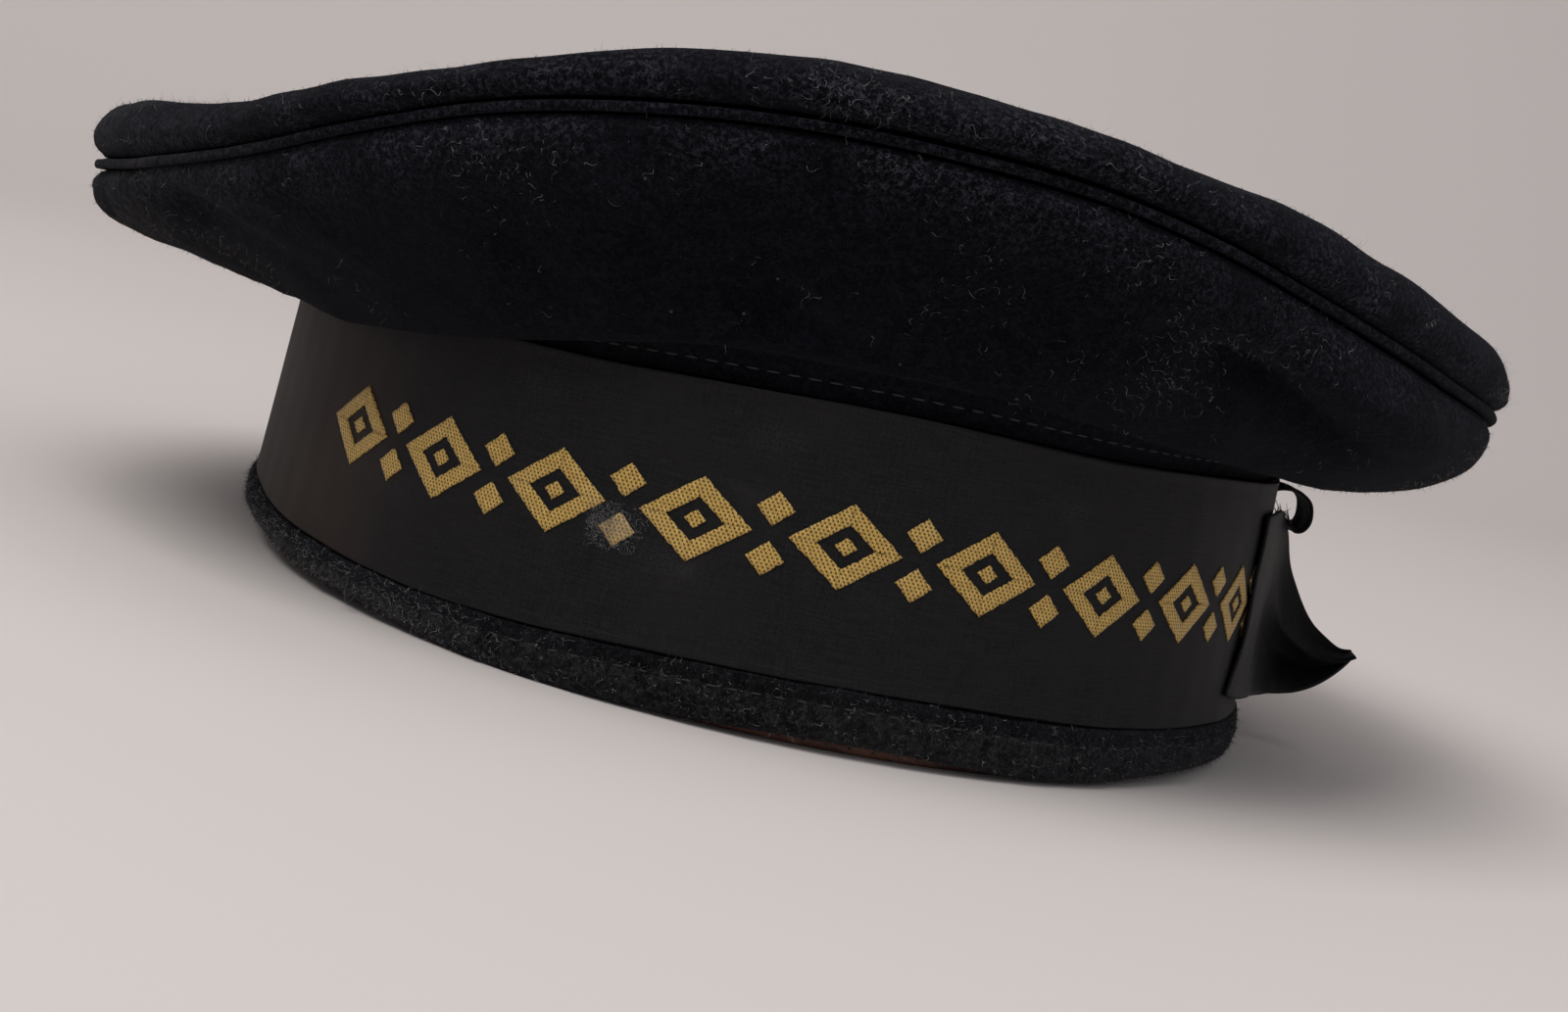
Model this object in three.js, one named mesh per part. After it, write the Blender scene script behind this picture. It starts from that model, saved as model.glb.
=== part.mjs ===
// Sailor's flat cap: a wide soft wool crown on a stiff headband, with a leather sweatband
// inside, a silk ribbon round the band and a flat bow on the wearer's left.
//
// Millimetres, +Z up. The cap rests on its hem at z = 0 and its front faces -Y.
// Azimuths are in degrees from +X (the bow's side), counter-clockwise seen from above,
// so the front is -90. "Out" is the distance outside the ribbon's oval face.

import * as THREE from "three";
import { mergeVertices } from "three/addons/utils/BufferGeometryUtils.js";

// Gives each row of a short table its columns' names.
function table(columns, rows) {
  return rows.map((row) => Object.fromEntries(row.map((value, i) => [columns[i], value])));
}

// Headband, ribbon and sweatband
const BAND_HALF_WIDTH = 84; // ribbon face, across the head
const BAND_HALF_LENGTH = 102; // ribbon face, front to back
const BAND_TOP = 46;
const RIBBON_BOTTOM = 8.1;
const RIBBON_TOP = 46.1;
const RIBBON_WALL = 0.8;
const BAND_WALL = 2.6;
const LEATHER_WALL = 1.2;
const LEATHER_TOP = 37;
const FIT_GAP = 0.3; // between one layer and the next
const BAND_LEAN = 0.05; // how far the band leans in for each millimetre up
const BAND_MIDDLE = 27;
const HEM_BULGE = 0.8; // how far the rolled hem stands outside the ribbon
const HEM_TOP = 7.7;

// Crown
const CLOTH = 1.9; // wool thickness
const RIM_RADIUS = 118; // of the seam round the crown
const RIM_CENTRE_X = -2;
const WELT_HEIGHT = 1.4;
const SEAM_GAP = 0.3;
const PANEL_START = 46.35; // the side panel's sewn edge, just above the headband
const CREST_INSET = 7; // from the rim in to the highest line of the rolled edge
const TOP_PUFF = 3; // how far the middle of the top stands above its rim's mean

// Bow
const BOW_AZIMUTH = 20;
const BOW_Z = 27;
const SILK = 0.7;

// Facets
const STEPS_ROUND = 54;
const STEPS_SIDE = 16;
const STEPS_ROLL = 6;
const TOP_RINGS = [0.84, 0.66, 0.46, 0.24];

// The crown's sections, one row per azimuth. rimZ is the seam's height and rollUp how far
// the top's rolled edge rises above it. Lip, belly and brow are the side panel's points from
// the band to the seam. droop is 1 where the panel folds over and hides the ribbon's edge.
const CROWN_COLUMNS = [
  "az",
  "rimZ",
  "rollUp",
  "lipOut",
  "lipZ",
  "bellyOut",
  "bellyZ",
  "browOut",
  "browZ",
  "droop",
];
const CROWN_SECTIONS = table(CROWN_COLUMNS, [
  [-180, 51.2, 10.2, 4.4, 40.4, 17, 41.7, 32.4, 45.4, 1],
  [-160, 53.6, 10.8, 4.4, 40.8, 16.6, 43.2, 30.6, 47.2, 1],
  [-150, 56.6, 9.2, 4, 40.8, 14.2, 44.6, 26.4, 49.6, 1],
  [-140, 61.2, 7.6, 4, 40.6, 14.4, 45.6, 24.6, 53.2, 1],
  [-130, 68.1, 6.7, 3.8, 42.2, 13.4, 48.6, 22.2, 58.6, 0.85],
  [-120, 74.7, 6.9, 3, 45.2, 11.8, 53.2, 19.8, 65.2, 0.5],
  [-110, 79.1, 8, 2.4, 49, 10.3, 58, 17.6, 70.2, 0.12],
  [-100, 81.7, 8.4, 2, 52.6, 8.8, 61.6, 15.6, 73.4, 0],
  [-90, 82.3, 7.5, 1.9, 53.4, 8, 62.2, 14.8, 74, 0],
  [-80, 81.6, 7.3, 1.9, 53, 8.4, 61.6, 15.4, 73, 0],
  [-70, 78.6, 8.3, 2.2, 51.8, 10.2, 58.8, 17.4, 69.2, 0.05],
  [-60, 74.2, 9.8, 2.6, 50.4, 12, 55.2, 20.4, 64, 0.15],
  [-50, 70.2, 10.8, 3, 49.2, 14, 51.8, 24.4, 59.2, 0.25],
  [-40, 66.6, 10.8, 3.2, 48.2, 14.2, 49.8, 26, 56.2, 0.4],
  [-20, 62.4, 8.4, 3.6, 46.4, 13, 46.8, 27, 52.6, 0.55],
  [0, 60.6, 8.8, 4, 45.2, 15, 45.2, 28, 50.4, 0.7],
  [30, 61.4, 8, 4, 44, 14, 45.4, 23.8, 51.2, 0.9],
  [60, 63.4, 7.6, 3.6, 44.6, 11.2, 48.2, 17.8, 54.6, 0.8],
  [90, 64, 7.6, 3.2, 46, 9.2, 50.4, 14.6, 56.4, 0.6],
  [120, 60.4, 8, 3.8, 43.6, 11.8, 47.2, 19, 52.6, 0.9],
  [150, 54.8, 9.2, 4.4, 41, 15.4, 43.2, 27, 48, 1],
]);

// Soft dents (depth > 0) and swellings (depth < 0) in the side panel, one row each. Each is
// centred at az, z, with half sizes, and leans by so many degrees for each millimetre up.
const SIDE_FOLDS = table(["az", "z", "halfAz", "halfZ", "lean", "depth"], [
  [-100.5, 66, 4.2, 11, 0, 1.7],
  [-93.5, 54, 4.4, 6, -1.05, 2.6],
  [-83.5, 68, 3.8, 9, -0.1, 1.1],
  [-74.5, 62, 5, 8, 0.1, -1.3],
  [-63, 62, 5, 5, -1.1, 4.2],
  [-146, 50, 5, 5, -1.3, 2],
  [-166, 47, 7, 5, 0, -1.1],
  [36, 54, 6, 5, 0.9, 2.4],
  [77, 57, 5, 6, -0.6, 1.6],
  [108, 55, 5, 6, 0.8, 1.9],
  [137, 50, 6, 5, -0.9, 2.2],
]);

// Shallow hollows (depth > 0) and swellings in the crown's top.
const TOP_FOLDS = table(["x", "y", "halfX", "halfY", "depth"], [
  [-38, 20, 30, 16, 2.2],
  [30, -34, 22, 34, -1.4],
  [46, 34, 20, 30, 1.8],
  [-12, -62, 34, 14, 1.2],
]);

// The band isn't quite level: at each azimuth the hem's underside may be lifted off the flat,
// and the ribbon and the top of the band are shifted up or down.
const BAND_SECTIONS = table(["az", "hemLift", "shift"], [
  [-180, 1.4, -0.3],
  [-150, 2.5, -1.0],
  [-130, 1.4, -1.4],
  [-115, 0, -0.8],
  [-100, 0.9, 0.8],
  [-84, 2.0, 1.8],
  [-66, 0.6, 1.1],
  [-50, 1.7, 0.9],
  [-30, 1.2, 0.2],
  [0, 0, 0],
  [60, 0, 0],
  [120, 0, 0],
  [155, 0, 0],
]);

// The bow's front loop, seen from above, from the knot round its tip and back. Turn is the
// angle from the knot and half is half the loop's height there.
const LOOP_PATH = table(["turn", "out", "half"], [
  [3.9, 1.9, 10.5],
  [8, 1.9, 14.5],
  [12, 2.0, 16.4],
  [15, 2.3, 17],
  [16.2, 3.2, 17],
  [15, 4.2, 16.8],
  [11.5, 5.1, 15.6],
  [8, 5.2, 13.6],
  [3.9, 4.5, 10.5],
]);

// The knot's outline at each height: half its width and how far it stands out.
const KNOT_ROWS = table(["z", "half", "out"], [
  [13.5, 4.9, 3.4],
  [15, 4.9, 6.0],
  [20, 4.5, 6.9],
  [27, 4.2, 7.2],
  [34, 4.5, 6.9],
  [39, 4.9, 6.0],
  [40.5, 4.9, 3.4],
]);

// The ribbon's pointed end: its folded front edge lies on the band, and from there it goes
// back towards the bow and stands out. Swing is how many degrees its lower edge is turned to
// the front.
const POINTED_END = table(["az", "out", "low", "high", "swing"], [
  [-36, 0.9, 13.0, 41.5, 3],
  [-30, 0.9, 11.5, 41.5, 3],
  [-24, 1.1, 10.5, 41.2, 3],
  [-18, 1.8, 9.6, 40.8, 3],
  [-12.5, 3.2, 8.8, 39.6, 3],
  [-8.5, 5.6, 8.3, 36.6, 2.5],
  [-6.6, 7.9, 8.5, 31.0, 2.4],
  [-5.9, 10.0, 9.0, 27.4, 2.8],
  [-5.6, 12.2, 9.7, 24.2, 3.0],
  [-5.7, 14.6, 10.9, 21.4, 2.8],
  [-6.0, 17.2, 12.8, 19.6, 2.2],
  [-6.4, 19.6, 15.1, 18.4, 1.2],
  [-6.9, 21.4, 17.4, 18.6, 0.3],
]);

// The frayed end: up from the pointed end's corner, then curling out and down.
const CURLED_END = table(["out", "z"], [
  [1.0, 41.9],
  [2.4, 43.1],
  [4.6, 43.6],
  [6.8, 43.3],
  [8.4, 42.1],
  [8.9, 40.3],
  [8.8, 38.4],
  [7.9, 37.0],
  [6.6, 36.7],
  [5.7, 37.8],
]);
const CURL_AZ = [-9, -6.8, -4.6, -2.4];

const radians = THREE.MathUtils.degToRad;
const lerp = THREE.MathUtils.lerp;

// An angle brought to between -180 and 180.
function wrapped(azimuth) {
  return THREE.MathUtils.euclideanModulo(azimuth + 180, 360) - 180;
}

// The oval of the ribbon's face at half its height.
function bandRadius(azimuth) {
  const a = radians(azimuth);
  return 1 / Math.hypot(Math.cos(a) / BAND_HALF_WIDTH, Math.sin(a) / BAND_HALF_LENGTH);
}

function bandFace(azimuth, z) {
  return bandRadius(azimuth) - BAND_LEAN * (Math.min(z, BAND_TOP) - BAND_MIDDLE);
}

function rimRadius(azimuth) {
  return RIM_RADIUS + RIM_CENTRE_X * Math.cos(radians(azimuth));
}

function polar(azimuth, radius, z) {
  const a = radians(azimuth);
  return new THREE.Vector3(radius * Math.cos(a), radius * Math.sin(a), z);
}

// A point given by its azimuth, its distance outside the ribbon's face, and its height.
function onBand(azimuth, out, z) {
  return polar(azimuth, bandFace(azimuth, z) + out, z);
}

// A table's row at any azimuth, by a smooth periodic curve through its rows.
function rowAt(rows, azimuth) {
  const count = rows.length;
  const az = wrapped(azimuth);
  const row = (k) => rows[(k + count) % count];
  const azOf = (k) => row(k).az + 360 * Math.floor(k / count);
  let i = count - 1;
  while (rows[i].az > az) i -= 1;
  const span = azOf(i + 1) - azOf(i);
  const t = (az - azOf(i)) / span;
  const found = {};
  for (const key of Object.keys(rows[0])) {
    const slope = (k) => (row(k + 1)[key] - row(k - 1)[key]) / (azOf(k + 1) - azOf(k - 1));
    found[key] =
      (2 * t ** 3 - 3 * t ** 2 + 1) * row(i)[key] +
      (t ** 3 - 2 * t ** 2 + t) * slope(i) * span +
      (3 * t ** 2 - 2 * t ** 3) * row(i + 1)[key] +
      (t ** 3 - t ** 2) * slope(i + 1) * span;
  }
  return found;
}

function crownSection(azimuth) {
  return rowAt(CROWN_SECTIONS, azimuth);
}

// How far the ribbon and the top of the band are shifted up.
function bandShift(azimuth) {
  return rowAt(BAND_SECTIONS, azimuth).shift;
}

// How far the hem is lifted off the flat.
function hemLift(azimuth) {
  return Math.max(rowAt(BAND_SECTIONS, azimuth).hemLift, 0);
}

// A smooth curve through [radius, z] points.
function smoothLine(points, steps) {
  const corners = points.map(([r, z]) => new THREE.Vector3(r, z, 0));
  const curve = new THREE.CatmullRomCurve3(corners, false, "centripetal");
  return curve.getPoints(steps).map((p) => [p.x, p.y]);
}

// Moves each point of a line across it, to the left of its direction.
function shiftLine(points, distanceAt) {
  return points.map(([r, z], i) => {
    const [r0, z0] = points[Math.max(i - 1, 0)];
    const [r1, z1] = points[Math.min(i + 1, points.length - 1)];
    const length = Math.hypot(r1 - r0, z1 - z0);
    const d = distanceAt(r, z);
    return [r - (d * (z1 - z0)) / length, z + (d * (r1 - r0)) / length];
  });
}

// How far the side panel is pushed in at an azimuth and height.
function foldDepth(azimuth, z) {
  return SIDE_FOLDS.reduce((sum, fold) => {
    const turn = wrapped(azimuth - fold.az - fold.lean * (z - fold.z));
    const away = (turn / fold.halfAz) ** 2 + ((z - fold.z) / fold.halfZ) ** 2;
    return sum + fold.depth * Math.exp(-away);
  }, 0);
}

// The side panel's outer line from the headband to the seam.
function sideLine(azimuth) {
  const s = crownSection(azimuth);
  const base = bandRadius(azimuth);
  const face = bandFace(azimuth, BAND_TOP);
  const up = bandShift(azimuth);
  const rim = rimRadius(azimuth);
  const line = smoothLine(
    [
      [face - 1.2, PANEL_START + up],
      [face + lerp(-0.7, -0.5, s.droop), lerp(48.4, 47.5, s.droop) + up],
      [face + lerp(0.1, 1.1, s.droop), lerp(49.9, 47.5, s.droop) + up],
      [face + lerp(1.1, 2.0, s.droop), lerp(51.2, 45.3, s.droop) + up * (1 - s.droop)],
      [base + s.lipOut, s.lipZ],
      [base + s.bellyOut, s.bellyZ],
      [base + s.browOut, s.browZ],
      [lerp(base + s.browOut, rim, 0.62) + 0.9, lerp(s.browZ, s.rimZ, 0.6)],
      [rim - 0.4, s.rimZ],
    ],
    STEPS_SIDE,
  );
  const ease = (r) => THREE.MathUtils.smoothstep(r, base + 2, base + 8);
  const seamEase = (z) => THREE.MathUtils.smoothstep(s.rimZ - z, 0, 5);
  return shiftLine(line, (r, z) => foldDepth(azimuth, z) * ease(r) * seamEase(z));
}

// The height of the rolled edge's highest line.
function crestHeight(azimuth) {
  const s = crownSection(azimuth);
  return s.rimZ + WELT_HEIGHT + SEAM_GAP + s.rollUp;
}

// The waves of the crest's height round the rim, from which the top is stretched smoothly.
const CREST_WAVES = [];
for (let wave = 0; wave <= 6; wave += 1) {
  const samples = 72;
  let cosine = 0;
  let sine = 0;
  for (let k = 0; k < samples; k += 1) {
    const az = (360 * k) / samples;
    cosine += (crestHeight(az) * Math.cos(radians(wave * az)) * 2) / samples;
    sine += (crestHeight(az) * Math.sin(radians(wave * az)) * 2) / samples;
  }
  CREST_WAVES.push({ cosine: wave === 0 ? cosine / 2 : cosine, sine });
}

// The top's height at a share (0 to 1) of the way from the middle to the crest.
function topHeight(azimuth, share) {
  const across = share * (rimRadius(azimuth) - CREST_INSET);
  const x = across * Math.cos(radians(azimuth));
  const y = across * Math.sin(radians(azimuth));
  let z = TOP_PUFF * (1 - share ** 2);
  CREST_WAVES.forEach(({ cosine, sine }, wave) => {
    const turn = radians(wave * azimuth);
    z += share ** wave * (cosine * Math.cos(turn) + sine * Math.sin(turn));
  });
  for (const fold of TOP_FOLDS) {
    const away = ((x - fold.x) / fold.halfX) ** 2 + ((y - fold.y) / fold.halfY) ** 2;
    z -= fold.depth * Math.exp(-away);
  }
  return z;
}

// The top's outer line from its sewn edge, round the roll and in to the last ring.
function topLine(azimuth) {
  const s = crownSection(azimuth);
  const rim = rimRadius(azimuth);
  const edge = s.rimZ + WELT_HEIGHT + 2 * SEAM_GAP;
  const crest = rim - CREST_INSET;
  const roll = smoothLine(
    [
      [rim - 0.6, edge],
      [rim + 1.0, edge + 0.4 * s.rollUp],
      [rim - 1.4, edge + 0.8 * s.rollUp],
      [crest, topHeight(azimuth, 1)],
    ],
    STEPS_ROLL,
  );
  return [...roll, ...TOP_RINGS.map((share) => [crest * share, topHeight(azimuth, share)])];
}

// The inner face of a cloth line: the same line moved in, with a level cut at its sewn edge.
function clothInside(line, sewnIndex) {
  const inside = shiftLine(line, () => CLOTH);
  const [r, z] = line[sewnIndex];
  inside[sewnIndex] = [r - CLOTH, z];
  return inside;
}

// A closed mesh from shared points and triangles.
function solid(name, points, triangles, material) {
  const geometry = new THREE.BufferGeometry();
  const coordinates = points.flatMap((p) => p.toArray());
  geometry.setAttribute("position", new THREE.Float32BufferAttribute(coordinates, 3));
  geometry.setIndex(triangles.flat());
  const mesh = new THREE.Mesh(mergeVertices(geometry), material);
  mesh.name = name;
  return mesh;
}

// A solid ring with a closed profile of [radius, z] points, anticlockwise, at each azimuth.
function ringSolid(name, profileAt, material) {
  const points = [];
  const triangles = [];
  for (let i = 0; i < STEPS_ROUND; i += 1) {
    const az = (360 * i) / STEPS_ROUND;
    points.push(...profileAt(az).map(([r, z]) => polar(az, r, z)));
  }
  const around = points.length / STEPS_ROUND;
  for (let i = 0; i < STEPS_ROUND; i += 1) {
    const next = (i + 1) % STEPS_ROUND;
    for (let j = 0; j < around; j += 1) {
      const up = (j + 1) % around;
      const a = i * around + j;
      const b = next * around + j;
      const c = next * around + up;
      const d = i * around + up;
      triangles.push([a, b, c], [a, c, d]);
    }
  }
  return solid(name, points, triangles, material);
}

// A solid cap whose outer line runs from its edge to its last ring, closed at the middle.
function capSolid(name, outerAt, innerAt, middleZ, thickness, material) {
  const points = [];
  const triangles = [];
  for (let i = 0; i < STEPS_ROUND; i += 1) {
    const az = (360 * i) / STEPS_ROUND;
    const profile = [...innerAt(az).reverse(), ...outerAt(az)];
    points.push(...profile.map(([r, z]) => polar(az, r, z)));
  }
  const around = points.length / STEPS_ROUND;
  const middleInside = points.push(new THREE.Vector3(0, 0, middleZ - thickness)) - 1;
  const middleOutside = points.push(new THREE.Vector3(0, 0, middleZ)) - 1;
  for (let i = 0; i < STEPS_ROUND; i += 1) {
    const next = (i + 1) % STEPS_ROUND;
    for (let j = 0; j + 1 < around; j += 1) {
      const a = i * around + j;
      const b = next * around + j;
      triangles.push([a, b, b + 1], [a, b + 1, a + 1]);
    }
    triangles.push([i * around, middleInside, next * around]);
    triangles.push([i * around + around - 1, next * around + around - 1, middleOutside]);
  }
  return solid(name, points, triangles, material);
}

// A thick sheet from a grid of points on its middle face.
function sheetSolid(name, grid, thickness, material) {
  const rows = grid.length;
  const columns = grid[0].length;
  const normalAt = (i, j) => {
    const down = grid[Math.max(i - 1, 0)][j];
    const up = grid[Math.min(i + 1, rows - 1)][j];
    const left = grid[i][Math.max(j - 1, 0)];
    const right = grid[i][Math.min(j + 1, columns - 1)];
    return up.clone().sub(down).cross(right.clone().sub(left)).normalize();
  };
  const layer = (side) =>
    grid.flatMap((row, i) =>
      row.map((p, j) => p.clone().addScaledVector(normalAt(i, j), (side * thickness) / 2)),
    );
  const points = [...layer(1), ...layer(-1)];
  const back = rows * columns;
  const triangles = [];
  const quad = (a, b, c, d) => triangles.push([a, b, c], [a, c, d]);
  for (let i = 0; i + 1 < rows; i += 1) {
    for (let j = 0; j + 1 < columns; j += 1) {
      const a = i * columns + j;
      quad(a, a + columns, a + columns + 1, a + 1);
      quad(back + a, back + a + 1, back + a + columns + 1, back + a + columns);
    }
    const first = i * columns;
    const last = first + columns - 1;
    quad(first, back + first, back + first + columns, first + columns);
    quad(last, last + columns, back + last + columns, back + last);
  }
  for (let j = 0; j + 1 < columns; j += 1) {
    const end = (rows - 1) * columns + j;
    quad(j, j + 1, back + j + 1, back + j);
    quad(end, back + end, back + end + 1, end + 1);
  }
  return solid(name, points, triangles, material);
}

// A solid through closed loops of points, one above another, with flat ends.
function stackSolid(name, loops, material) {
  const around = loops[0].length;
  const points = loops.flat();
  const triangles = [];
  for (let i = 0; i + 1 < loops.length; i += 1) {
    for (let j = 0; j < around; j += 1) {
      const next = (j + 1) % around;
      const a = i * around + j;
      const b = i * around + next;
      triangles.push([a, b, b + around], [a, b + around, a + around]);
    }
  }
  const top = (loops.length - 1) * around;
  for (let j = 1; j + 1 < around; j += 1) {
    triangles.push([0, j + 1, j], [top, top + j, top + j + 1]);
  }
  return solid(name, points, triangles, material);
}

const wool = new THREE.MeshStandardMaterial({ color: 0x12121a, roughness: 0.95, metalness: 0 });
const hemWool = new THREE.MeshStandardMaterial({ color: 0x26252a, roughness: 0.97, metalness: 0 });
const silk = new THREE.MeshStandardMaterial({ color: 0x161518, roughness: 0.6, metalness: 0 });
const leather = new THREE.MeshStandardMaterial({ color: 0x553228, roughness: 0.55, metalness: 0 });

function crownTop() {
  const inner = (az) => clothInside(topLine(az), 0);
  return capSolid("crown_top", topLine, inner, topHeight(0, 0), CLOTH, wool);
}

function crownSide() {
  return ringSolid(
    "crown_side",
    (az) => {
      const line = sideLine(az);
      const inside = clothInside(line, line.length - 1);
      return [...line, ...inside.reverse()];
    },
    wool,
  );
}

function crownWelt() {
  return ringSolid(
    "crown_welt",
    (az) => {
      const rim = rimRadius(az);
      const low = crownSection(az).rimZ + SEAM_GAP;
      const high = low + WELT_HEIGHT;
      return [
        [rim - 2.2, low],
        [rim - 0.5, low],
        [rim + 0.1, (low + high) / 2],
        [rim - 0.5, high],
        [rim - 2.2, high],
      ];
    },
    wool,
  );
}

function headband() {
  const outer = -RIBBON_WALL - FIT_GAP;
  const inner = outer - BAND_WALL;
  return ringSolid(
    "headband",
    (az) => {
      const lift = hemLift(az);
      const up = bandShift(az);
      const at = (out, z) => [bandFace(az, z) + out, z];
      const hemTop = HEM_TOP + up;
      return [
        at(-1.9, lift),
        at(-0.5, lift),
        at(0.55, lift + 0.16 * (hemTop - lift)),
        at(HEM_BULGE, lerp(lift, hemTop, 0.45)),
        at(HEM_BULGE * 0.85, lerp(lift, hemTop, 0.8)),
        at(0.1, hemTop),
        at(outer, hemTop),
        at(outer, BAND_MIDDLE),
        at(outer, BAND_TOP + up),
        at(inner, BAND_TOP + up),
        at(inner, BAND_MIDDLE),
        at(inner, 2.2 + lift),
      ];
    },
    hemWool,
  );
}

function sweatband() {
  const outer = -RIBBON_WALL - BAND_WALL - 2 * FIT_GAP;
  const inner = outer - LEATHER_WALL;
  return ringSolid(
    "sweatband",
    (az) => {
      const at = (out, z) => [bandFace(az, z) + out, z];
      return [
        at(inner + 0.4, 0.15),
        at(outer + 0.3, 0.15),
        at(outer + 0.8, 0.7),
        at(outer, 2.4),
        at(outer, LEATHER_TOP),
        at(inner, LEATHER_TOP),
        at(inner, 0.8),
      ];
    },
    leather,
  );
}

function ribbon() {
  return ringSolid(
    "ribbon",
    (az) => {
      const up = bandShift(az);
      const at = (out, z) => [bandFace(az, z) + out, z + up];
      return [
        at(-RIBBON_WALL, RIBBON_BOTTOM),
        at(0, RIBBON_BOTTOM),
        at(0, RIBBON_TOP),
        at(-RIBBON_WALL, RIBBON_TOP),
      ];
    },
    silk,
  );
}

function bowKnot() {
  const loops = KNOT_ROWS.map(({ z, half, out }) => {
    const turn = THREE.MathUtils.radToDeg(half / bandRadius(BOW_AZIMUTH));
    const shape = [
      [-1, 0.55],
      [-1, 0.6 * out],
      [-0.6, 0.92 * out],
      [0, out],
      [0.6, 0.92 * out],
      [1, 0.6 * out],
      [1, 0.55],
    ];
    return shape.map(([side, stand]) => onBand(BOW_AZIMUTH + side * turn, stand, z));
  });
  return stackSolid("bow_knot", loops, silk);
}

function bowLoop(name, side) {
  const grid = LOOP_PATH.map(({ turn, out, half }) =>
    [-1, -0.5, 0, 0.5, 1].map((up) => onBand(BOW_AZIMUTH + side * turn, out, BOW_Z + up * half)),
  );
  return sheetSolid(name, side < 0 ? grid.map((row) => row.reverse()) : grid, SILK, silk);
}

function bowPointedEnd() {
  const grid = POINTED_END.map(({ az, out, low, high, swing }) =>
    [0, 0.2, 0.4, 0.7, 1].map((up) => {
      const turned = swing * (1 - Math.min(up / 0.4, 1)) ** 1.5;
      return onBand(az - turned, out, lerp(low, high, up));
    }),
  );
  return sheetSolid("bow_pointed_end", grid, SILK, silk);
}

function bowCurledEnd() {
  const grid = CURLED_END.map(({ out, z }) => CURL_AZ.map((az) => onBand(az, out, z)));
  return sheetSolid("bow_curled_end", grid, SILK, silk);
}

const cap = new THREE.Group();
cap.add(crownTop(), crownSide(), crownWelt());
cap.add(headband(), sweatband(), ribbon());
cap.add(bowKnot(), bowLoop("bow_loop_front", -1), bowLoop("bow_loop_back", 1));
cap.add(bowPointedEnd(), bowCurledEnd());

// The origin sits under the middle of the whole cap.
const box = new THREE.Box3().setFromObject(cap);
const middle = box.getCenter(new THREE.Vector3());
cap.position.set(-middle.x, -middle.y, -box.min.z);
cap.updateMatrixWorld(true);

export default cap;
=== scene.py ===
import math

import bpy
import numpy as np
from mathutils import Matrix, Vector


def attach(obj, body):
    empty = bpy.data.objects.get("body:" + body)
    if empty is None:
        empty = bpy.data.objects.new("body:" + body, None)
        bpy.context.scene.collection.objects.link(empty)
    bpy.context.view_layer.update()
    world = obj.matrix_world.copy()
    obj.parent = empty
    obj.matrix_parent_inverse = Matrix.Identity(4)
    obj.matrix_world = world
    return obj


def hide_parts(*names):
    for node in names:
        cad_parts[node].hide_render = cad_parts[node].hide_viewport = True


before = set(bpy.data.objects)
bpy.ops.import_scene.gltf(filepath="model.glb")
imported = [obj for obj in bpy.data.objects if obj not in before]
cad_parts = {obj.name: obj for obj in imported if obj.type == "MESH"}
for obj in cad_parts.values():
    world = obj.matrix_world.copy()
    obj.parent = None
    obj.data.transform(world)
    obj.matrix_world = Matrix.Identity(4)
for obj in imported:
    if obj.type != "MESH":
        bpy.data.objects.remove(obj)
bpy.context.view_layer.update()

# A sailor's flat cap of dark melton wool: a wide soft crown on a stiff band, a silk ribbon
# with a woven gold border, a flat bow on the wearer's left and a leather sweatband.
# Tables and shapes are in millimetres, and every mesh is made in metres in the row frame.
# Azimuths are in degrees from +X, the bow's side; the front is -90.

MM = 0.001

# The band's oval is centred this far towards the bow's side from the middle of the cap.
OVAL_X = 2.0

# Headband, ribbon and sweatband. The ribbon's face is the band's outline at BAND_MIDDLE.
BAND_HALF_WIDTH = 84.0
BAND_HALF_LENGTH = 102.0
BAND_TOP = 46.0
RIBBON_BOTTOM = 8.1
RIBBON_HEIGHT = 38.0
RIBBON_SILK = 0.5
BAND_INSET = 0.8
BAND_WALL = 2.6
LEATHER_WALL = 1.2
LEATHER_TOP = 37.0
LAYER_GAP = 0.3
LEATHER_FACE = -BAND_INSET - BAND_WALL - 2 * LAYER_GAP
BAND_LEAN = 0.05
BAND_MIDDLE = 27.0
HEM_BULGE = 0.8
HEM_TOP = 7.7
HEM_SEAM_SHARE = 0.74

# Crown
CLOTH = 1.9
RIM_RADIUS = 118.0
WELT_HEIGHT = 1.4
SEAM_GAP = 0.3
PANEL_START = 46.35
CREST_INSET = 7.0
TOP_PUFF = 3.0
SEAM_TUCK = 0.75
SEAM_TUCK_REACH = 0.9

# Bow
BOW_AZIMUTH = 20.0
BOW_Z = 27.0
KNOT_BASE = 0.55
KNOT_THREAD_GAP = 0.22

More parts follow.
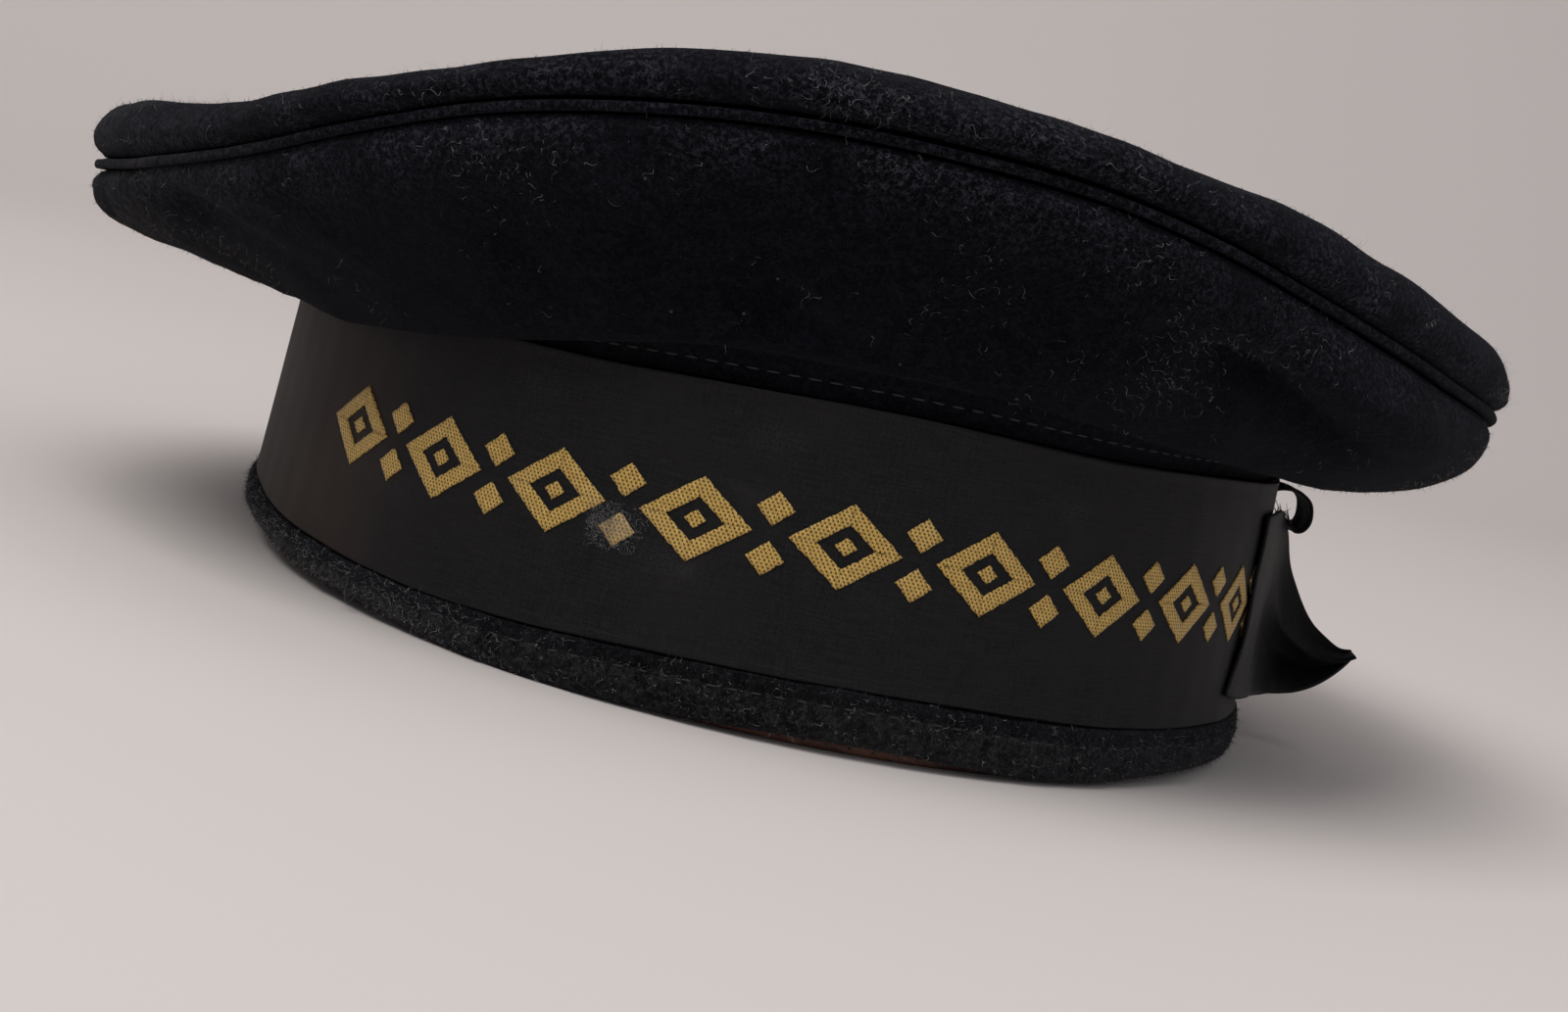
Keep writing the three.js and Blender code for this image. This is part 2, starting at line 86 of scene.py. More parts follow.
# The crown's sections by azimuth: the seam's height, how far the rolled edge rises above it,
# and the side panel's lip, belly and brow from the band to the seam. Droop is 1 where the
# panel folds over and hides the ribbon's edge.
SECTION_COLUMNS = (
    "az", "rim_z", "roll_up", "lip_out", "lip_z", "belly_out", "belly_z",
    "brow_out", "brow_z", "droop",
)
SECTION_ROWS = (
    (-180, 51.2, 10.2, 4.4, 40.4, 17, 41.7, 32.4, 45.4, 1),
    (-160, 53.6, 10.8, 4.4, 40.8, 16.6, 43.2, 30.6, 47.2, 1),
    (-150, 56.6, 9.2, 4, 40.8, 14.2, 44.6, 26.4, 49.6, 1),
    (-140, 61.2, 7.6, 4, 40.6, 14.4, 45.6, 24.6, 53.2, 1),
    (-130, 68.1, 6.7, 3.8, 42.2, 13.4, 48.6, 22.2, 58.6, 0.85),
    (-120, 74.7, 6.9, 3, 45.2, 11.8, 53.2, 19.8, 65.2, 0.5),
    (-110, 79.1, 8, 2.4, 49, 10.3, 58, 17.6, 70.2, 0.12),
    (-100, 81.7, 8.4, 2, 52.6, 8.8, 61.6, 15.6, 73.4, 0),
    (-90, 82.3, 7.5, 1.9, 53.4, 8, 62.2, 14.8, 74, 0),
    (-80, 81.6, 7.3, 1.9, 53, 8.4, 61.6, 15.4, 73, 0),
    (-70, 78.6, 8.3, 2.2, 51.8, 10.2, 58.8, 17.4, 69.2, 0.05),
    (-60, 74.2, 9.8, 2.6, 50.4, 12, 55.2, 20.4, 64, 0.15),
    (-50, 70.2, 10.8, 3, 49.2, 14, 51.8, 24.4, 59.2, 0.25),
    (-40, 66.6, 10.8, 3.2, 48.2, 14.2, 49.8, 26, 56.2, 0.4),
    (-20, 62.4, 8.4, 3.6, 46.4, 13, 47.2, 26.4, 53.6, 0.55),
    (0, 60.6, 8.8, 4, 45.2, 14.4, 45.8, 26.6, 52.2, 0.7),
    (30, 61.4, 8, 4, 44, 14, 45.4, 23.8, 51.2, 0.9),
    (60, 63.4, 7.6, 3.6, 44.6, 11.2, 48.2, 17.8, 54.6, 0.8),
    (90, 64, 7.6, 3.2, 46, 9.2, 50.4, 14.6, 56.4, 0.6),
    (120, 60.4, 8, 3.8, 43.6, 11.8, 47.2, 19, 52.6, 0.9),
    (150, 54.8, 9.2, 4.4, 41, 15.4, 43.2, 27, 48, 1),
)

# Soft dents (depth > 0) and swellings in the side panel: centre, half sizes, lean in degrees
# for each millimetre up, and depth.
SIDE_FOLDS = (
    (-100.5, 66, 4.2, 11, 0, 1.7),
    (-93.5, 54, 4.4, 6, -1.05, 2.6),
    (-83.5, 68, 3.8, 9, -0.1, 1.1),
    (-74.5, 62, 5, 8, 0.1, -1.3),
    (-63, 62, 5, 5, -1.1, 4.2),
    (-146, 50, 5, 5, -1.3, 2),
    (-166, 47, 7, 5, 0, -1.1),
    (36, 54, 6, 5, 0.9, 2.4),
    (77, 57, 5, 6, -0.6, 1.6),
    (108, 55, 5, 6, 0.8, 1.9),
    (137, 50, 6, 5, -0.9, 2.2),
)

# Smaller creases that only the finished cloth has, in the same columns.
SIDE_CREASES = (
    (-118, 58, 2.4, 7, -0.9, 0.8),
    (-110, 63, 2.2, 8, 0.5, 0.6),
    (-96, 60, 1.8, 8, -0.6, -0.5),
    (-88, 58, 2.2, 6, -0.8, 0.6),
    (-70, 70, 2.4, 6, 0.7, 0.6),
    (-64, 62.5, 3.2, 3.4, -1.5, 2.4),
    (-56, 58, 3.4, 2.6, -1.8, 1.6),
    (-50, 62, 5, 3, -1.2, -1.2),
    (-48, 55.6, 6, 2.0, -1.8, 1.0),
    (-91.5, 52.5, 4.5, 4, -1.2, 1.6),
    (-101, 65, 2.4, 9, -0.2, 0.9),
    (-36, 55, 5, 2.4, 1.2, 0.7),
    (-132, 52, 3, 4, -1.6, -0.7),
    (-156, 48, 4, 3, 1.4, 0.8),
    (-172, 46, 4, 3, -1.2, 0.7),
    (12, 50, 4, 4, 1.2, 0.8),
    (52, 55, 3, 5, -1.0, 0.7),
    (92, 58, 3, 5, 0.9, 0.8),
    (122, 54, 3.4, 4, -1.3, 0.7),
    (162, 48, 4, 3, 1.1, 0.8),
)

# Shallow hollows (depth > 0) and swellings in the crown's top: centre, half sizes, depth.
TOP_FOLDS = (
    (-38, 20, 30, 16, 2.2),
    (30, -34, 22, 34, -1.4),
    (46, 34, 20, 30, 1.8),
    (-12, -62, 34, 14, 1.2),
)

# How far the hem is lifted off the flat, and how far the ribbon is shifted up, by azimuth.
BAND_COLUMNS = ("az", "hem_lift", "shift")
BAND_ROWS = (
    (-180, 3.4, 1.8),
    (-164, 3.8, 0.9),
    (-150, 2.6, -0.8),
    (-130, 1.4, -1.4),
    (-115, 0, -0.8),
    (-100, 0.9, 0.8),
    (-84, 2.0, 1.8),
    (-66, 0.6, 1.1),
    (-50, 1.7, 0.9),
    (-30, 1.2, 0.2),
    (0, 0, 0),
    (60, 0, 0),
    (120, 0, 0),
    (155, 0, 0),
)

# The bow's loop seen from above: turn from the knot, how far out, half its height.
LOOP_PATH = (
    (3.9, 1.9, 10.5),
    (8, 1.9, 14.5),
    (12, 2.0, 16.4),
    (15, 2.3, 17),
    (16.2, 3.2, 17),
    (15, 4.2, 16.8),
    (11.5, 5.1, 15.6),
    (8, 5.2, 13.6),
    (3.9, 4.5, 10.5),
)

# The knot's outline at each height: half its width and how far it stands out.
KNOT_ROWS = (
    (13.5, 4.9, 3.4),
    (15, 4.9, 6.0),
    (20, 4.5, 6.9),
    (27, 4.2, 7.2),
    (34, 4.5, 6.9),
    (39, 4.9, 6.0),
    (40.5, 4.9, 3.4),
)

# The ribbon's pointed end, from its folded front edge on the band back and out to its tip:
# azimuth, out, lower and upper edge, and how far the lower edge swings to the front.
POINTED_END = (
    (-36, 0.9, 13.0, 41.5, 3),
    (-30, 0.9, 11.5, 41.5, 3),
    (-24, 1.1, 10.5, 41.2, 3),
    (-18, 1.8, 9.6, 40.8, 3),
    (-12.5, 3.2, 8.8, 39.6, 3),
    (-8.5, 5.6, 8.3, 36.6, 2.5),
    (-6.6, 7.9, 8.5, 31.0, 2.4),
    (-5.9, 10.0, 9.0, 27.4, 2.8),
    (-5.6, 12.2, 9.7, 24.2, 3.0),
    (-5.7, 14.6, 10.9, 21.4, 2.8),
    (-6.0, 17.2, 12.8, 19.6, 2.2),
    (-6.4, 19.6, 15.1, 18.4, 1.2),
    (-6.9, 21.4, 17.4, 18.6, 0.3),
)

# The frayed end, up from the pointed end's corner, then curling out and down: out and height.
CURLED_END = (
    (1.0, 41.9),
    (2.4, 43.1),
    (4.6, 43.6),
    (6.8, 43.3),
    (8.4, 42.1),
    (8.9, 40.3),
    (8.8, 38.4),
    (7.9, 37.0),
    (6.6, 36.7),
    (5.7, 37.8),
)
CURL_AZ = (-9.0, -2.4)

# Rubbed places on the ribbon: azimuth, height, and half sizes both ways.
RUBBED_SPOTS = (
    (-138.0, 21.0, 5.0, 2.2),
    (-131.5, 19.5, 2.6, 1.6),
    (-96.8, 41.0, 2.2, 1.8),
    (-103.0, 21.0, 2.6, 2.2),
    (-71.0, 39.5, 1.6, 1.2),
    (-118.0, 40.0, 1.6, 1.4),
)

# The woven border: its height on the ribbon, how far round it goes, the large lozenges' spacing
# and stroke, and half the width and height of each kind of lozenge.
BORDER_LOW = 21.1
BORDER_HEIGHT = 12.0
BORDER_FROM = -144.0
BORDER_TO = -14.0
BORDER_MARGIN = 14.0
FIRST_LOZENGE = 8.5
LOZENGE_PERIOD = 21.0
LOZENGE_STROKE = 2.3
LOZENGE_HALF_WIDTH = 8.0
INNER_LOZENGE = (1.6, 1.3)
PAIR_LOZENGE = (2.7, 2.4)
PAIR_OFFSET = 3.5
WEAVE_LIFT = 0.10
WEAVE_THICKNESS = 0.26

# How finely each piece is divided, and which steps of a line the stitches follow.
ROUND_TOP = 288
ROUND_SIDE = 336
ROUND_BAND = 360
ROUND_STITCHES = 720
SIDE_STEPS = 60
SIDE_STITCH_STEP = 9
HEM_STEPS = 26
HEM_STITCH_STEP = 19
ROLL_STEPS = 22


# ---------------------------------------------------------------- the cap's measures

def wrapped(azimuth):
    return (np.asarray(azimuth, float) + 180.0) % 360.0 - 180.0


def smoothstep(value, low, high):
    share = np.clip((value - low) / (high - low), 0.0, 1.0)
    return share * share * (3.0 - 2.0 * share)


def lerp(a, b, share):
    return a + (b - a) * share


def around_table(rows, azimuth):
    """Each column of a table at any azimuths, by a smooth periodic curve through its rows."""
    table = np.array(rows, float)
    count = len(table)
    az = wrapped(azimuth)
    padded = np.concatenate([table[-2:], table, table[:3]])
    padded[:2, 0] -= 360.0
    padded[-3:, 0] += 360.0
    at = np.searchsorted(padded[:, 0], az, side="right") - 1
    at = np.clip(at, 1, count + 2)
    before, here, after, beyond = (padded[at + k] for k in (-1, 0, 1, 2))
    span = (after[:, 0] - here[:, 0])[:, None]
    t = (az[:, None] - here[:, :1]) / span
    slope_here = (after - before) / (after[:, :1] - before[:, :1])
    slope_after = (beyond - here) / (beyond[:, :1] - here[:, :1])
    found = (
        (2 * t**3 - 3 * t**2 + 1) * here
        + (t**3 - 2 * t**2 + t) * slope_here * span
        + (3 * t**2 - 2 * t**3) * after
        + (t**3 - t**2) * slope_after * span
    )
    return found.T


def crown_section(azimuth):
    return dict(zip(SECTION_COLUMNS, around_table(SECTION_ROWS, azimuth)))


def band_row(azimuth):
    return dict(zip(BAND_COLUMNS, around_table(BAND_ROWS, azimuth)))


def band_shift(azimuth):
    return band_row(azimuth)["shift"]


def hem_lift(azimuth):
    return np.maximum(band_row(azimuth)["hem_lift"], 0.0)


def band_radius(azimuth):
    a = np.radians(azimuth)
    return 1.0 / np.hypot(np.cos(a) / BAND_HALF_WIDTH, np.sin(a) / BAND_HALF_LENGTH)


def band_face(azimuth, z):
    return band_radius(azimuth) - BAND_LEAN * (np.minimum(z, BAND_TOP) - BAND_MIDDLE)


def rim_radius(azimuth):
    return RIM_RADIUS - OVAL_X * np.cos(np.radians(azimuth))


def polar(azimuth, radius, z):
    """Points in the row frame, in millimetres."""
    a = np.radians(azimuth)
    x = radius * np.cos(a) + OVAL_X
    y = radius * np.sin(a)
    return np.stack(np.broadcast_arrays(x, y, z), axis=-1).astype(float)


def azimuth_of(points):
    return wrapped(np.degrees(np.arctan2(points[..., 1], points[..., 0] - OVAL_X)))


def reach_of(points):
    return np.hypot(points[..., 0], points[..., 1])


def on_band(azimuth, out, z):
    return polar(azimuth, band_face(azimuth, z) + out, z)


def soft_curve(corners, steps):
    """Points on a centripetal curve through corners, which has the corners on axis -2."""
    corners = np.asarray(corners, float)
    first = 2 * corners[..., :1, :] - corners[..., 1:2, :]
    last = 2 * corners[..., -1:, :] - corners[..., -2:-1, :]
    all_points = np.concatenate([first, corners, last], axis=-2)
    gaps = np.sqrt(np.linalg.norm(np.diff(all_points, axis=-2), axis=-1))
    gaps = np.maximum(gaps, 1e-4)
    spans = corners.shape[-2] - 1
    found = []
    for k in range(steps + 1):
        place = spans * k / steps
        i = min(int(place), spans - 1)
        t = place - i
        p0, p1, p2, p3 = (all_points[..., i + j, :] for j in range(4))
        d0, d1, d2 = (gaps[..., i + j, None] for j in range(3))
        slope1 = ((p1 - p0) / d0 - (p2 - p0) / (d0 + d1) + (p2 - p1) / d1) * d1
        slope2 = ((p2 - p1) / d1 - (p3 - p1) / (d1 + d2) + (p3 - p2) / d2) * d1
        cubic = 2 * p1 - 2 * p2 + slope1 + slope2
        square = -3 * p1 + 3 * p2 - 2 * slope1 - slope2
        found.append(p1 + slope1 * t + square * t**2 + cubic * t**3)
    return np.stack(found, axis=-2)


def shift_line(lines, distance):
    """Moves each point of [radius, z] lines across its line, to the left of its direction."""
    along = np.empty_like(lines)
    along[..., 1:-1, :] = lines[..., 2:, :] - lines[..., :-2, :]
    along[..., 0, :] = lines[..., 1, :] - lines[..., 0, :]
    along[..., -1, :] = lines[..., -1, :] - lines[..., -2, :]
    along /= np.linalg.norm(along, axis=-1, keepdims=True)
    left = np.stack([-along[..., 1], along[..., 0]], axis=-1)
    return lines + left * np.asarray(distance)[..., None]


def fold_depth(folds, azimuth, z):
    total = np.zeros(np.broadcast(azimuth, z).shape)
    for az, mid, half_az, half_z, lean, depth in folds:
        turn = wrapped(azimuth - az - lean * (z - mid))
        total += depth * np.exp(-((turn / half_az) ** 2) - ((z - mid) / half_z) ** 2)
    return total


def lumps(points, size, seed, waves=7):
    """Soft unevenness between about -1 and 1 over points, with lumps of about that size."""
    draw = np.random.default_rng(seed)
    total = np.zeros(points.shape[:-1])
    for _ in range(waves):
        direction = draw.normal(size=3)
        direction /= np.linalg.norm(direction)
        reach = size * draw.uniform(1.4, 3.0)
        phase = draw.uniform(0, 2 * math.pi)
        total += np.sin(points @ direction * (2 * math.pi / reach) + phase)
    return total / math.sqrt(waves)


def seam_tuck(height):
    """How far the cloth is drawn in beside the seam, at a height from it."""
    return SEAM_TUCK * np.exp(-((height / SEAM_TUCK_REACH) ** 2))


def side_lines(azimuth, steps):
    """The side panel's outer lines from the headband to the seam, one per azimuth."""
    s = crown_section(azimuth)
    base = band_radius(azimuth)
    face = band_face(azimuth, BAND_TOP)
    up = band_shift(azimuth)
    rim = rim_radius(azimuth)
    droop = s["droop"]
    corners = [
        (face - 1.2, PANEL_START + up),
        (face + lerp(-0.7, -0.5, droop), lerp(48.4, 47.5, droop) + up),
        (face + lerp(0.1, 1.1, droop), lerp(49.9, 47.5, droop) + up),
        (face + lerp(1.1, 2.0, droop), lerp(51.2, 45.3, droop) + up * (1 - droop)),
        (base + s["lip_out"], s["lip_z"]),
        (base + s["belly_out"], s["belly_z"]),
        (base + s["brow_out"], s["brow_z"]),
        (lerp(base + s["brow_out"], rim, 0.62) + 0.9, lerp(s["brow_z"], s["rim_z"], 0.6)),
        (rim - 0.4, s["rim_z"]),
    ]
    stacked = np.stack([np.stack(corner, axis=-1) for corner in corners], axis=-2)
    lines = soft_curve(stacked, steps)
    r, z = lines[..., 0], lines[..., 1]
    ease = smoothstep(r, (base + 2)[:, None], (base + 8)[:, None])
    ease = ease * smoothstep(s["rim_z"][:, None] - z, 0, 5)
    az = np.asarray(azimuth)[:, None]
    points = polar(az, r, z)
    depth = fold_depth(SIDE_FOLDS, az, z) + fold_depth(SIDE_CREASES, az, z)
    uneven = lumps(points, 9.0, 11) * 0.28 + lumps(points, 3.4, 12) * 0.09
    return shift_line(lines, (depth + uneven) * ease + seam_tuck(s["rim_z"][:, None] - z))


def crest_height(azimuth):
    s = crown_section(azimuth)
    return s["rim_z"] + WELT_HEIGHT + SEAM_GAP + s["roll_up"]


def crest_waves():
    """The waves of the crest's height round the rim, from which the top is stretched."""
    az = np.arange(72) * 5.0
    height = crest_height(az)
    found = []
    for wave in range(7):
        cosine = (height * np.cos(np.radians(wave * az))).sum() * 2 / len(az)
        sine = (height * np.sin(np.radians(wave * az))).sum() * 2 / len(az)
        found.append((cosine / 2 if wave == 0 else cosine, sine))
    return found


CREST_WAVES = crest_waves()


def top_height(azimuth, share):
    across = share * (rim_radius(azimuth) - CREST_INSET)
    x = across * np.cos(np.radians(azimuth))
    y = across * np.sin(np.radians(azimuth))
    z = TOP_PUFF * (1 - share**2)
    for wave, (cosine, sine) in enumerate(CREST_WAVES):
        turn = np.radians(wave * azimuth)
        z = z + share**wave * (cosine * np.cos(turn) + sine * np.sin(turn))
    for mid_x, mid_y, half_x, half_y, depth in TOP_FOLDS:
        z = z - depth * np.exp(-(((x - mid_x) / half_x) ** 2) - ((y - mid_y) / half_y) ** 2)
    return z


def top_lines(azimuth, roll_steps, rings):
    """The top's outer lines from the sewn edge, round the roll and in towards the middle."""
    s = crown_section(azimuth)
    rim = rim_radius(azimuth)
    edge = s["rim_z"] + WELT_HEIGHT + 2 * SEAM_GAP
    crest = rim - CREST_INSET
    corners = [
        (rim - 0.6, edge),
        (rim + 1.0, edge + 0.4 * s["roll_up"]),
        (rim - 1.4, edge + 0.8 * s["roll_up"]),
        (crest, top_height(azimuth, 1.0)),
    ]
    stacked = np.stack([np.stack(corner, axis=-1) for corner in corners], axis=-2)
    roll = soft_curve(stacked, roll_steps)
    inner = [np.stack([crest * share, top_height(azimuth, share)], axis=-1) for share in rings]
    lines = np.concatenate([roll, np.stack(inner, axis=-2)], axis=-2)
    r, z = lines[..., 0], lines[..., 1]
    points = polar(np.asarray(azimuth)[:, None], r, z)
    ease = smoothstep(z, (edge + 0.2)[:, None], (edge + 3.0)[:, None])
    uneven = lumps(points, 16.0, 21) * 0.45 + lumps(points, 5.0, 22) * 0.12
    near_edge = np.arange(z.shape[1]) < roll_steps // 2 + 1
    return shift_line(lines, uneven * ease + seam_tuck(z - edge[:, None]) * near_edge)


# ---------------------------------------------------------------- making meshes

def placed_object(name, data):
    made = bpy.data.objects.new(name, data)
    bpy.context.scene.collection.objects.link(made)
    return made


def shade_smooth(mesh):
    mesh.polygons.foreach_set("use_smooth", np.ones(len(mesh.polygons), dtype=bool))


def new_piece(name, points, faces, material, uv=None, marks=None):
    """A smooth mesh piece from points in millimetres, with UVs given for each face corner."""
    mesh = bpy.data.meshes.new(name)
    mesh.from_pydata((np.asarray(points) * MM).tolist(), [], faces)
    shade_smooth(mesh)
    if uv is not None:
        layer = mesh.uv_layers.new(name="cloth")
        layer.data.foreach_set("uv", (np.asarray(uv, float) * MM).ravel())
    for mark, values in (marks or {}).items():
        attribute = mesh.attributes.new(mark, "FLOAT", "POINT")
        attribute.data.foreach_set("value", np.asarray(values, float).ravel())
    if material is not None:
        mesh.materials.append(material)
    mesh.update()
    return placed_object(name, mesh)


def grid_faces(rows, across, closed_rows, closed_across):
    """Corner numbers of a grid's quads, and each corner's row and column for its UVs."""
    i, j = np.meshgrid(
        np.arange(rows if closed_rows else rows - 1),
        np.arange(across if closed_across else across - 1),
        indexing="ij",
    )
    i, j = i.ravel(), j.ravel()
    corner_i = np.stack([i, i + 1, i + 1, i], axis=-1)
    corner_j = np.stack([j, j, j + 1, j + 1], axis=-1)
    return (corner_i % rows) * across + corner_j % across, corner_i, corner_j


def running_length(gaps):
    return np.concatenate([[0.0], np.cumsum(gaps)])


def ring_piece(name, azimuth, profiles, material, marks=None):
    """A closed ring whose closed [radius, z] profiles run anticlockwise, one per azimuth."""
    rows, across = profiles.shape[:2]
    points = polar(azimuth[:, None], profiles[..., 0], profiles[..., 1])
    faces, corner_i, corner_j = grid_faces(rows, across, True, True)
    closed = np.concatenate([points, points[:1]])
    along = running_length(np.linalg.norm(np.diff(closed, axis=0), axis=-1).mean(axis=1))
    uv = np.stack([along[corner_i], profiles[corner_i % rows, corner_j % across, 1]], axis=-1)
    return new_piece(name, points.reshape(-1, 3), faces.tolist(), material, uv, marks)


def grid_normals(grid):
    down = np.concatenate([grid[:1], grid[:-1]])
    up = np.concatenate([grid[1:], grid[-1:]])
    left = np.concatenate([grid[:, :1], grid[:, :-1]], axis=1)
    right = np.concatenate([grid[:, 1:], grid[:, -1:]], axis=1)
    normal = np.cross(up - down, right - left)
    return normal / np.maximum(np.linalg.norm(normal, axis=-1, keepdims=True), 1e-9)


def slab_parts(grid, thickness):
    """Points, faces and UVs of a thick closed sheet on a grid of points on its middle face."""
    rows, across = grid.shape[:2]
    shift = grid_normals(grid) * (np.asarray(thickness)[..., None] / 2)
    points = np.concatenate([(grid + shift).reshape(-1, 3), (grid - shift).reshape(-1, 3)])
    front = grid_faces(rows, across, False, False)[0]
    offset = rows * across
    back = front[:, ::-1] + offset
    index = np.arange(offset).reshape(rows, across)
    rim = np.concatenate([index[0, :-1], index[:-1, -1], index[-1, :0:-1], index[:0:-1, 0]])
    after = np.roll(rim, -1)
    walls = np.stack([rim, after, after + offset, rim + offset], axis=-1)
    faces = np.concatenate([front, back, walls])
    u = running_length(np.linalg.norm(np.diff(grid, axis=0), axis=-1).mean(axis=1))
    v = running_length(np.linalg.norm(np.diff(grid, axis=1), axis=-1).mean(axis=0))
    flat = np.stack(np.meshgrid(u, v, indexing="ij"), axis=-1).reshape(-1, 2)
    flat = np.concatenate([flat, flat])
    return points, faces, flat[faces]


def slab_piece(name, grid, thickness, material, marks=None):
    points, faces, uv = slab_parts(grid, np.broadcast_to(thickness, grid.shape[:2]))
    return new_piece(name, points, faces.tolist(), material, uv, marks)


def closed_tube_faces(rows, around):
    """A tube's side quads and its two end faces."""
    faces = grid_faces(rows, around, False, True)[0][:, ::-1].tolist()
    last = (rows - 1) * around
    faces.append(list(range(around)))
    faces.append([last + k for k in reversed(range(around))])
    return faces


def tube_parts(path, radius, sides):
    """A closed thread along a path of points, with the radius given at each."""
    path = np.asarray(path, float)
    radius = np.broadcast_to(radius, len(path))
    along = np.gradient(path, axis=0)
    along /= np.linalg.norm(along, axis=-1, keepdims=True)
    across = np.cross(along, [0.31, 0.17, 0.93])
    across /= np.linalg.norm(across, axis=-1, keepdims=True)
    other = np.cross(along, across)
    turn = 2 * math.pi * np.arange(sides) / sides
    circle = across[:, None] * np.cos(turn)[:, None] + other[:, None] * np.sin(turn)[:, None]
    points = (path[:, None] + circle * radius[:, None, None]).reshape(-1, 3)
    return points, closed_tube_faces(len(path), sides)


def joined_piece(name, parts, material):
    """One piece from several lists of points and faces."""
    points, faces, start = [], [], 0
    for part_points, part_faces in parts:
        points.append(part_points)
        faces.extend([start + k for k in face] for face in part_faces)
        start += len(part_points)
    return new_piece(name, np.concatenate(points), faces, material)


# ---------------------------------------------------------------- node helpers

def add(tree, kind, inputs=None, **settings):
    """Adds a node, sets its settings, and links or sets its inputs by name or number."""
    made = tree.nodes.new(kind)
    for key, value in settings.items():
        setattr(made, key, value)
    for key, value in (inputs or {}).items():
        if isinstance(value, bpy.types.NodeSocket):
            tree.links.new(value, made.inputs[key])
        else:
            made.inputs[key].default_value = value
    return made


def calc(tree, operation, *values):
    made = add(tree, "ShaderNodeMath", dict(enumerate(values)), operation=operation)
    return made.outputs[0]


def blend(tree, factor, first, second):
    made = add(tree, "ShaderNodeMix", {0: factor, 6: first, 7: second}, data_type="RGBA")
    return made.outputs[2]


def window(tree, value, low, high):
    """0 below low and 1 above high, smoothly."""
    made = add(
        tree, "ShaderNodeMapRange", {"Value": value, "From Min": low, "From Max": high},
        interpolation_type="SMOOTHSTEP",
    )
    return made.outputs[0]


def noise(tree, place, scale, detail=2.0, roughness=0.5, distortion=0.0):
    made = add(
        tree, "ShaderNodeTexNoise",
        {"Vector": place, "Scale": scale, "Detail": detail, "Roughness": roughness,
         "Distortion": distortion},
    )
    return made.outputs[0]


def object_place(tree):
    return add(tree, "ShaderNodeTexCoord").outputs["Object"]


def cloth_place(tree):
    return add(tree, "ShaderNodeUVMap", uv_map="cloth").outputs[0]


def marked(tree, mark):
    return add(tree, "ShaderNodeAttribute", attribute_name=mark).outputs["Fac"]


def part_of(tree, factor, share):
    return calc(tree, "MULTIPLY", factor, share)


def stretched(tree, place, scale):
    return add(tree, "ShaderNodeMapping", {"Vector": place, "Scale": scale}).outputs[0]


def new_material(name):
    material = bpy.data.materials.new(name)
    material.use_nodes = True
    tree = material.node_tree
    return material, tree, tree.nodes["Principled BSDF"]


def dress(tree, surface, color, roughness, height, depth, strength=1.0):
    """Links a colour, a roughness and a bump of that depth in metres to a surface."""
    tree.links.new(color, surface.inputs["Base Color"])
    if isinstance(roughness, float):
        surface.inputs["Roughness"].default_value = roughness
    else:
        tree.links.new(roughness, surface.inputs["Roughness"])
    bump = add(tree, "ShaderNodeBump", {"Height": height, "Distance": depth, "Strength": strength})
    tree.links.new(bump.outputs[0], surface.inputs["Normal"])


# ---------------------------------------------------------------- materials

def napped_wool(name, deep, worn, rub_and_light, lint, lint_share, dust, sheen):
    """Melton wool: clumped nap over fine fibres, paler where rubbed and where painted light stands
    for the overhead light on the rolled rim, with lint and dust.
    """
    material, tree, surface = new_material(name)
    place = object_place(tree)
    broad = noise(tree, place, 38.0, 3.0, 0.55)
    clumps = noise(tree, place, 420.0, 4.0, 0.7, 0.8)
    grains = noise(tree, place, 1350.0, 4.0, 0.85, 0.4)
    fibres = noise(tree, stretched(tree, place, (1.0, 1.0, 0.45)), 2300.0, 3.0, 0.7, 1.4)
    shade = calc(tree, "MULTIPLY_ADD", clumps, 0.30, calc(tree, "MULTIPLY", fibres, 0.20))
    shade = calc(tree, "MULTIPLY_ADD", grains, 0.50, shade)
    color = blend(tree, window(tree, shade, 0.45, 0.61), deep, worn)
    color = blend(tree, part_of(tree, window(tree, broad, 0.45, 0.72), 0.30), color, worn)
    # Paler grains where the nap is rubbed; on the crown this also paints the light falling on the
    # rolled rim.
    rubbed_and_lit = marked(tree, "rubbed_and_lit")
    lit_and_rubbed_grains = calc(tree, "MULTIPLY", rubbed_and_lit, window(tree, grains, 0.46, 0.66))
    color = blend(tree, part_of(tree, lit_and_rubbed_grains, 0.75), color, rub_and_light)
    specks = add(tree, "ShaderNodeTexVoronoi", {"Vector": place, "Scale": 640.0})
    near = calc(tree, "SUBTRACT", 1.0, window(tree, specks.outputs["Distance"], 0.10, 0.20))
    parted = add(tree, "ShaderNodeSeparateColor", {0: specks.outputs["Color"]})
    rare = window(tree, parted.outputs[0], 1.0 - lint_share, 1.02 - lint_share)
    color = blend(tree, part_of(tree, calc(tree, "MULTIPLY", near, rare), 0.6), color, lint)
    dusty = marked(tree, "dust")
    film = calc(tree, "MULTIPLY", dusty, window(tree, clumps, 0.38, 0.66))
    color = blend(tree, part_of(tree, film, 0.55), color, dust)
    height = calc(tree, "MULTIPLY_ADD", fibres, 0.4, calc(tree, "MULTIPLY", clumps, 0.6))
    height = calc(tree, "MULTIPLY_ADD", grains, 0.5, height)
    dress(tree, surface, color, 0.96, height, 0.0009, 0.9)
    surface.inputs["Specular IOR Level"].default_value = 0.07
    surface.inputs["Sheen Weight"].default_value = sheen
    surface.inputs["Sheen Roughness"].default_value = 0.45
    surface.inputs["Sheen Tint"].default_value = (0.62, 0.66, 0.85, 1.0)
    return material


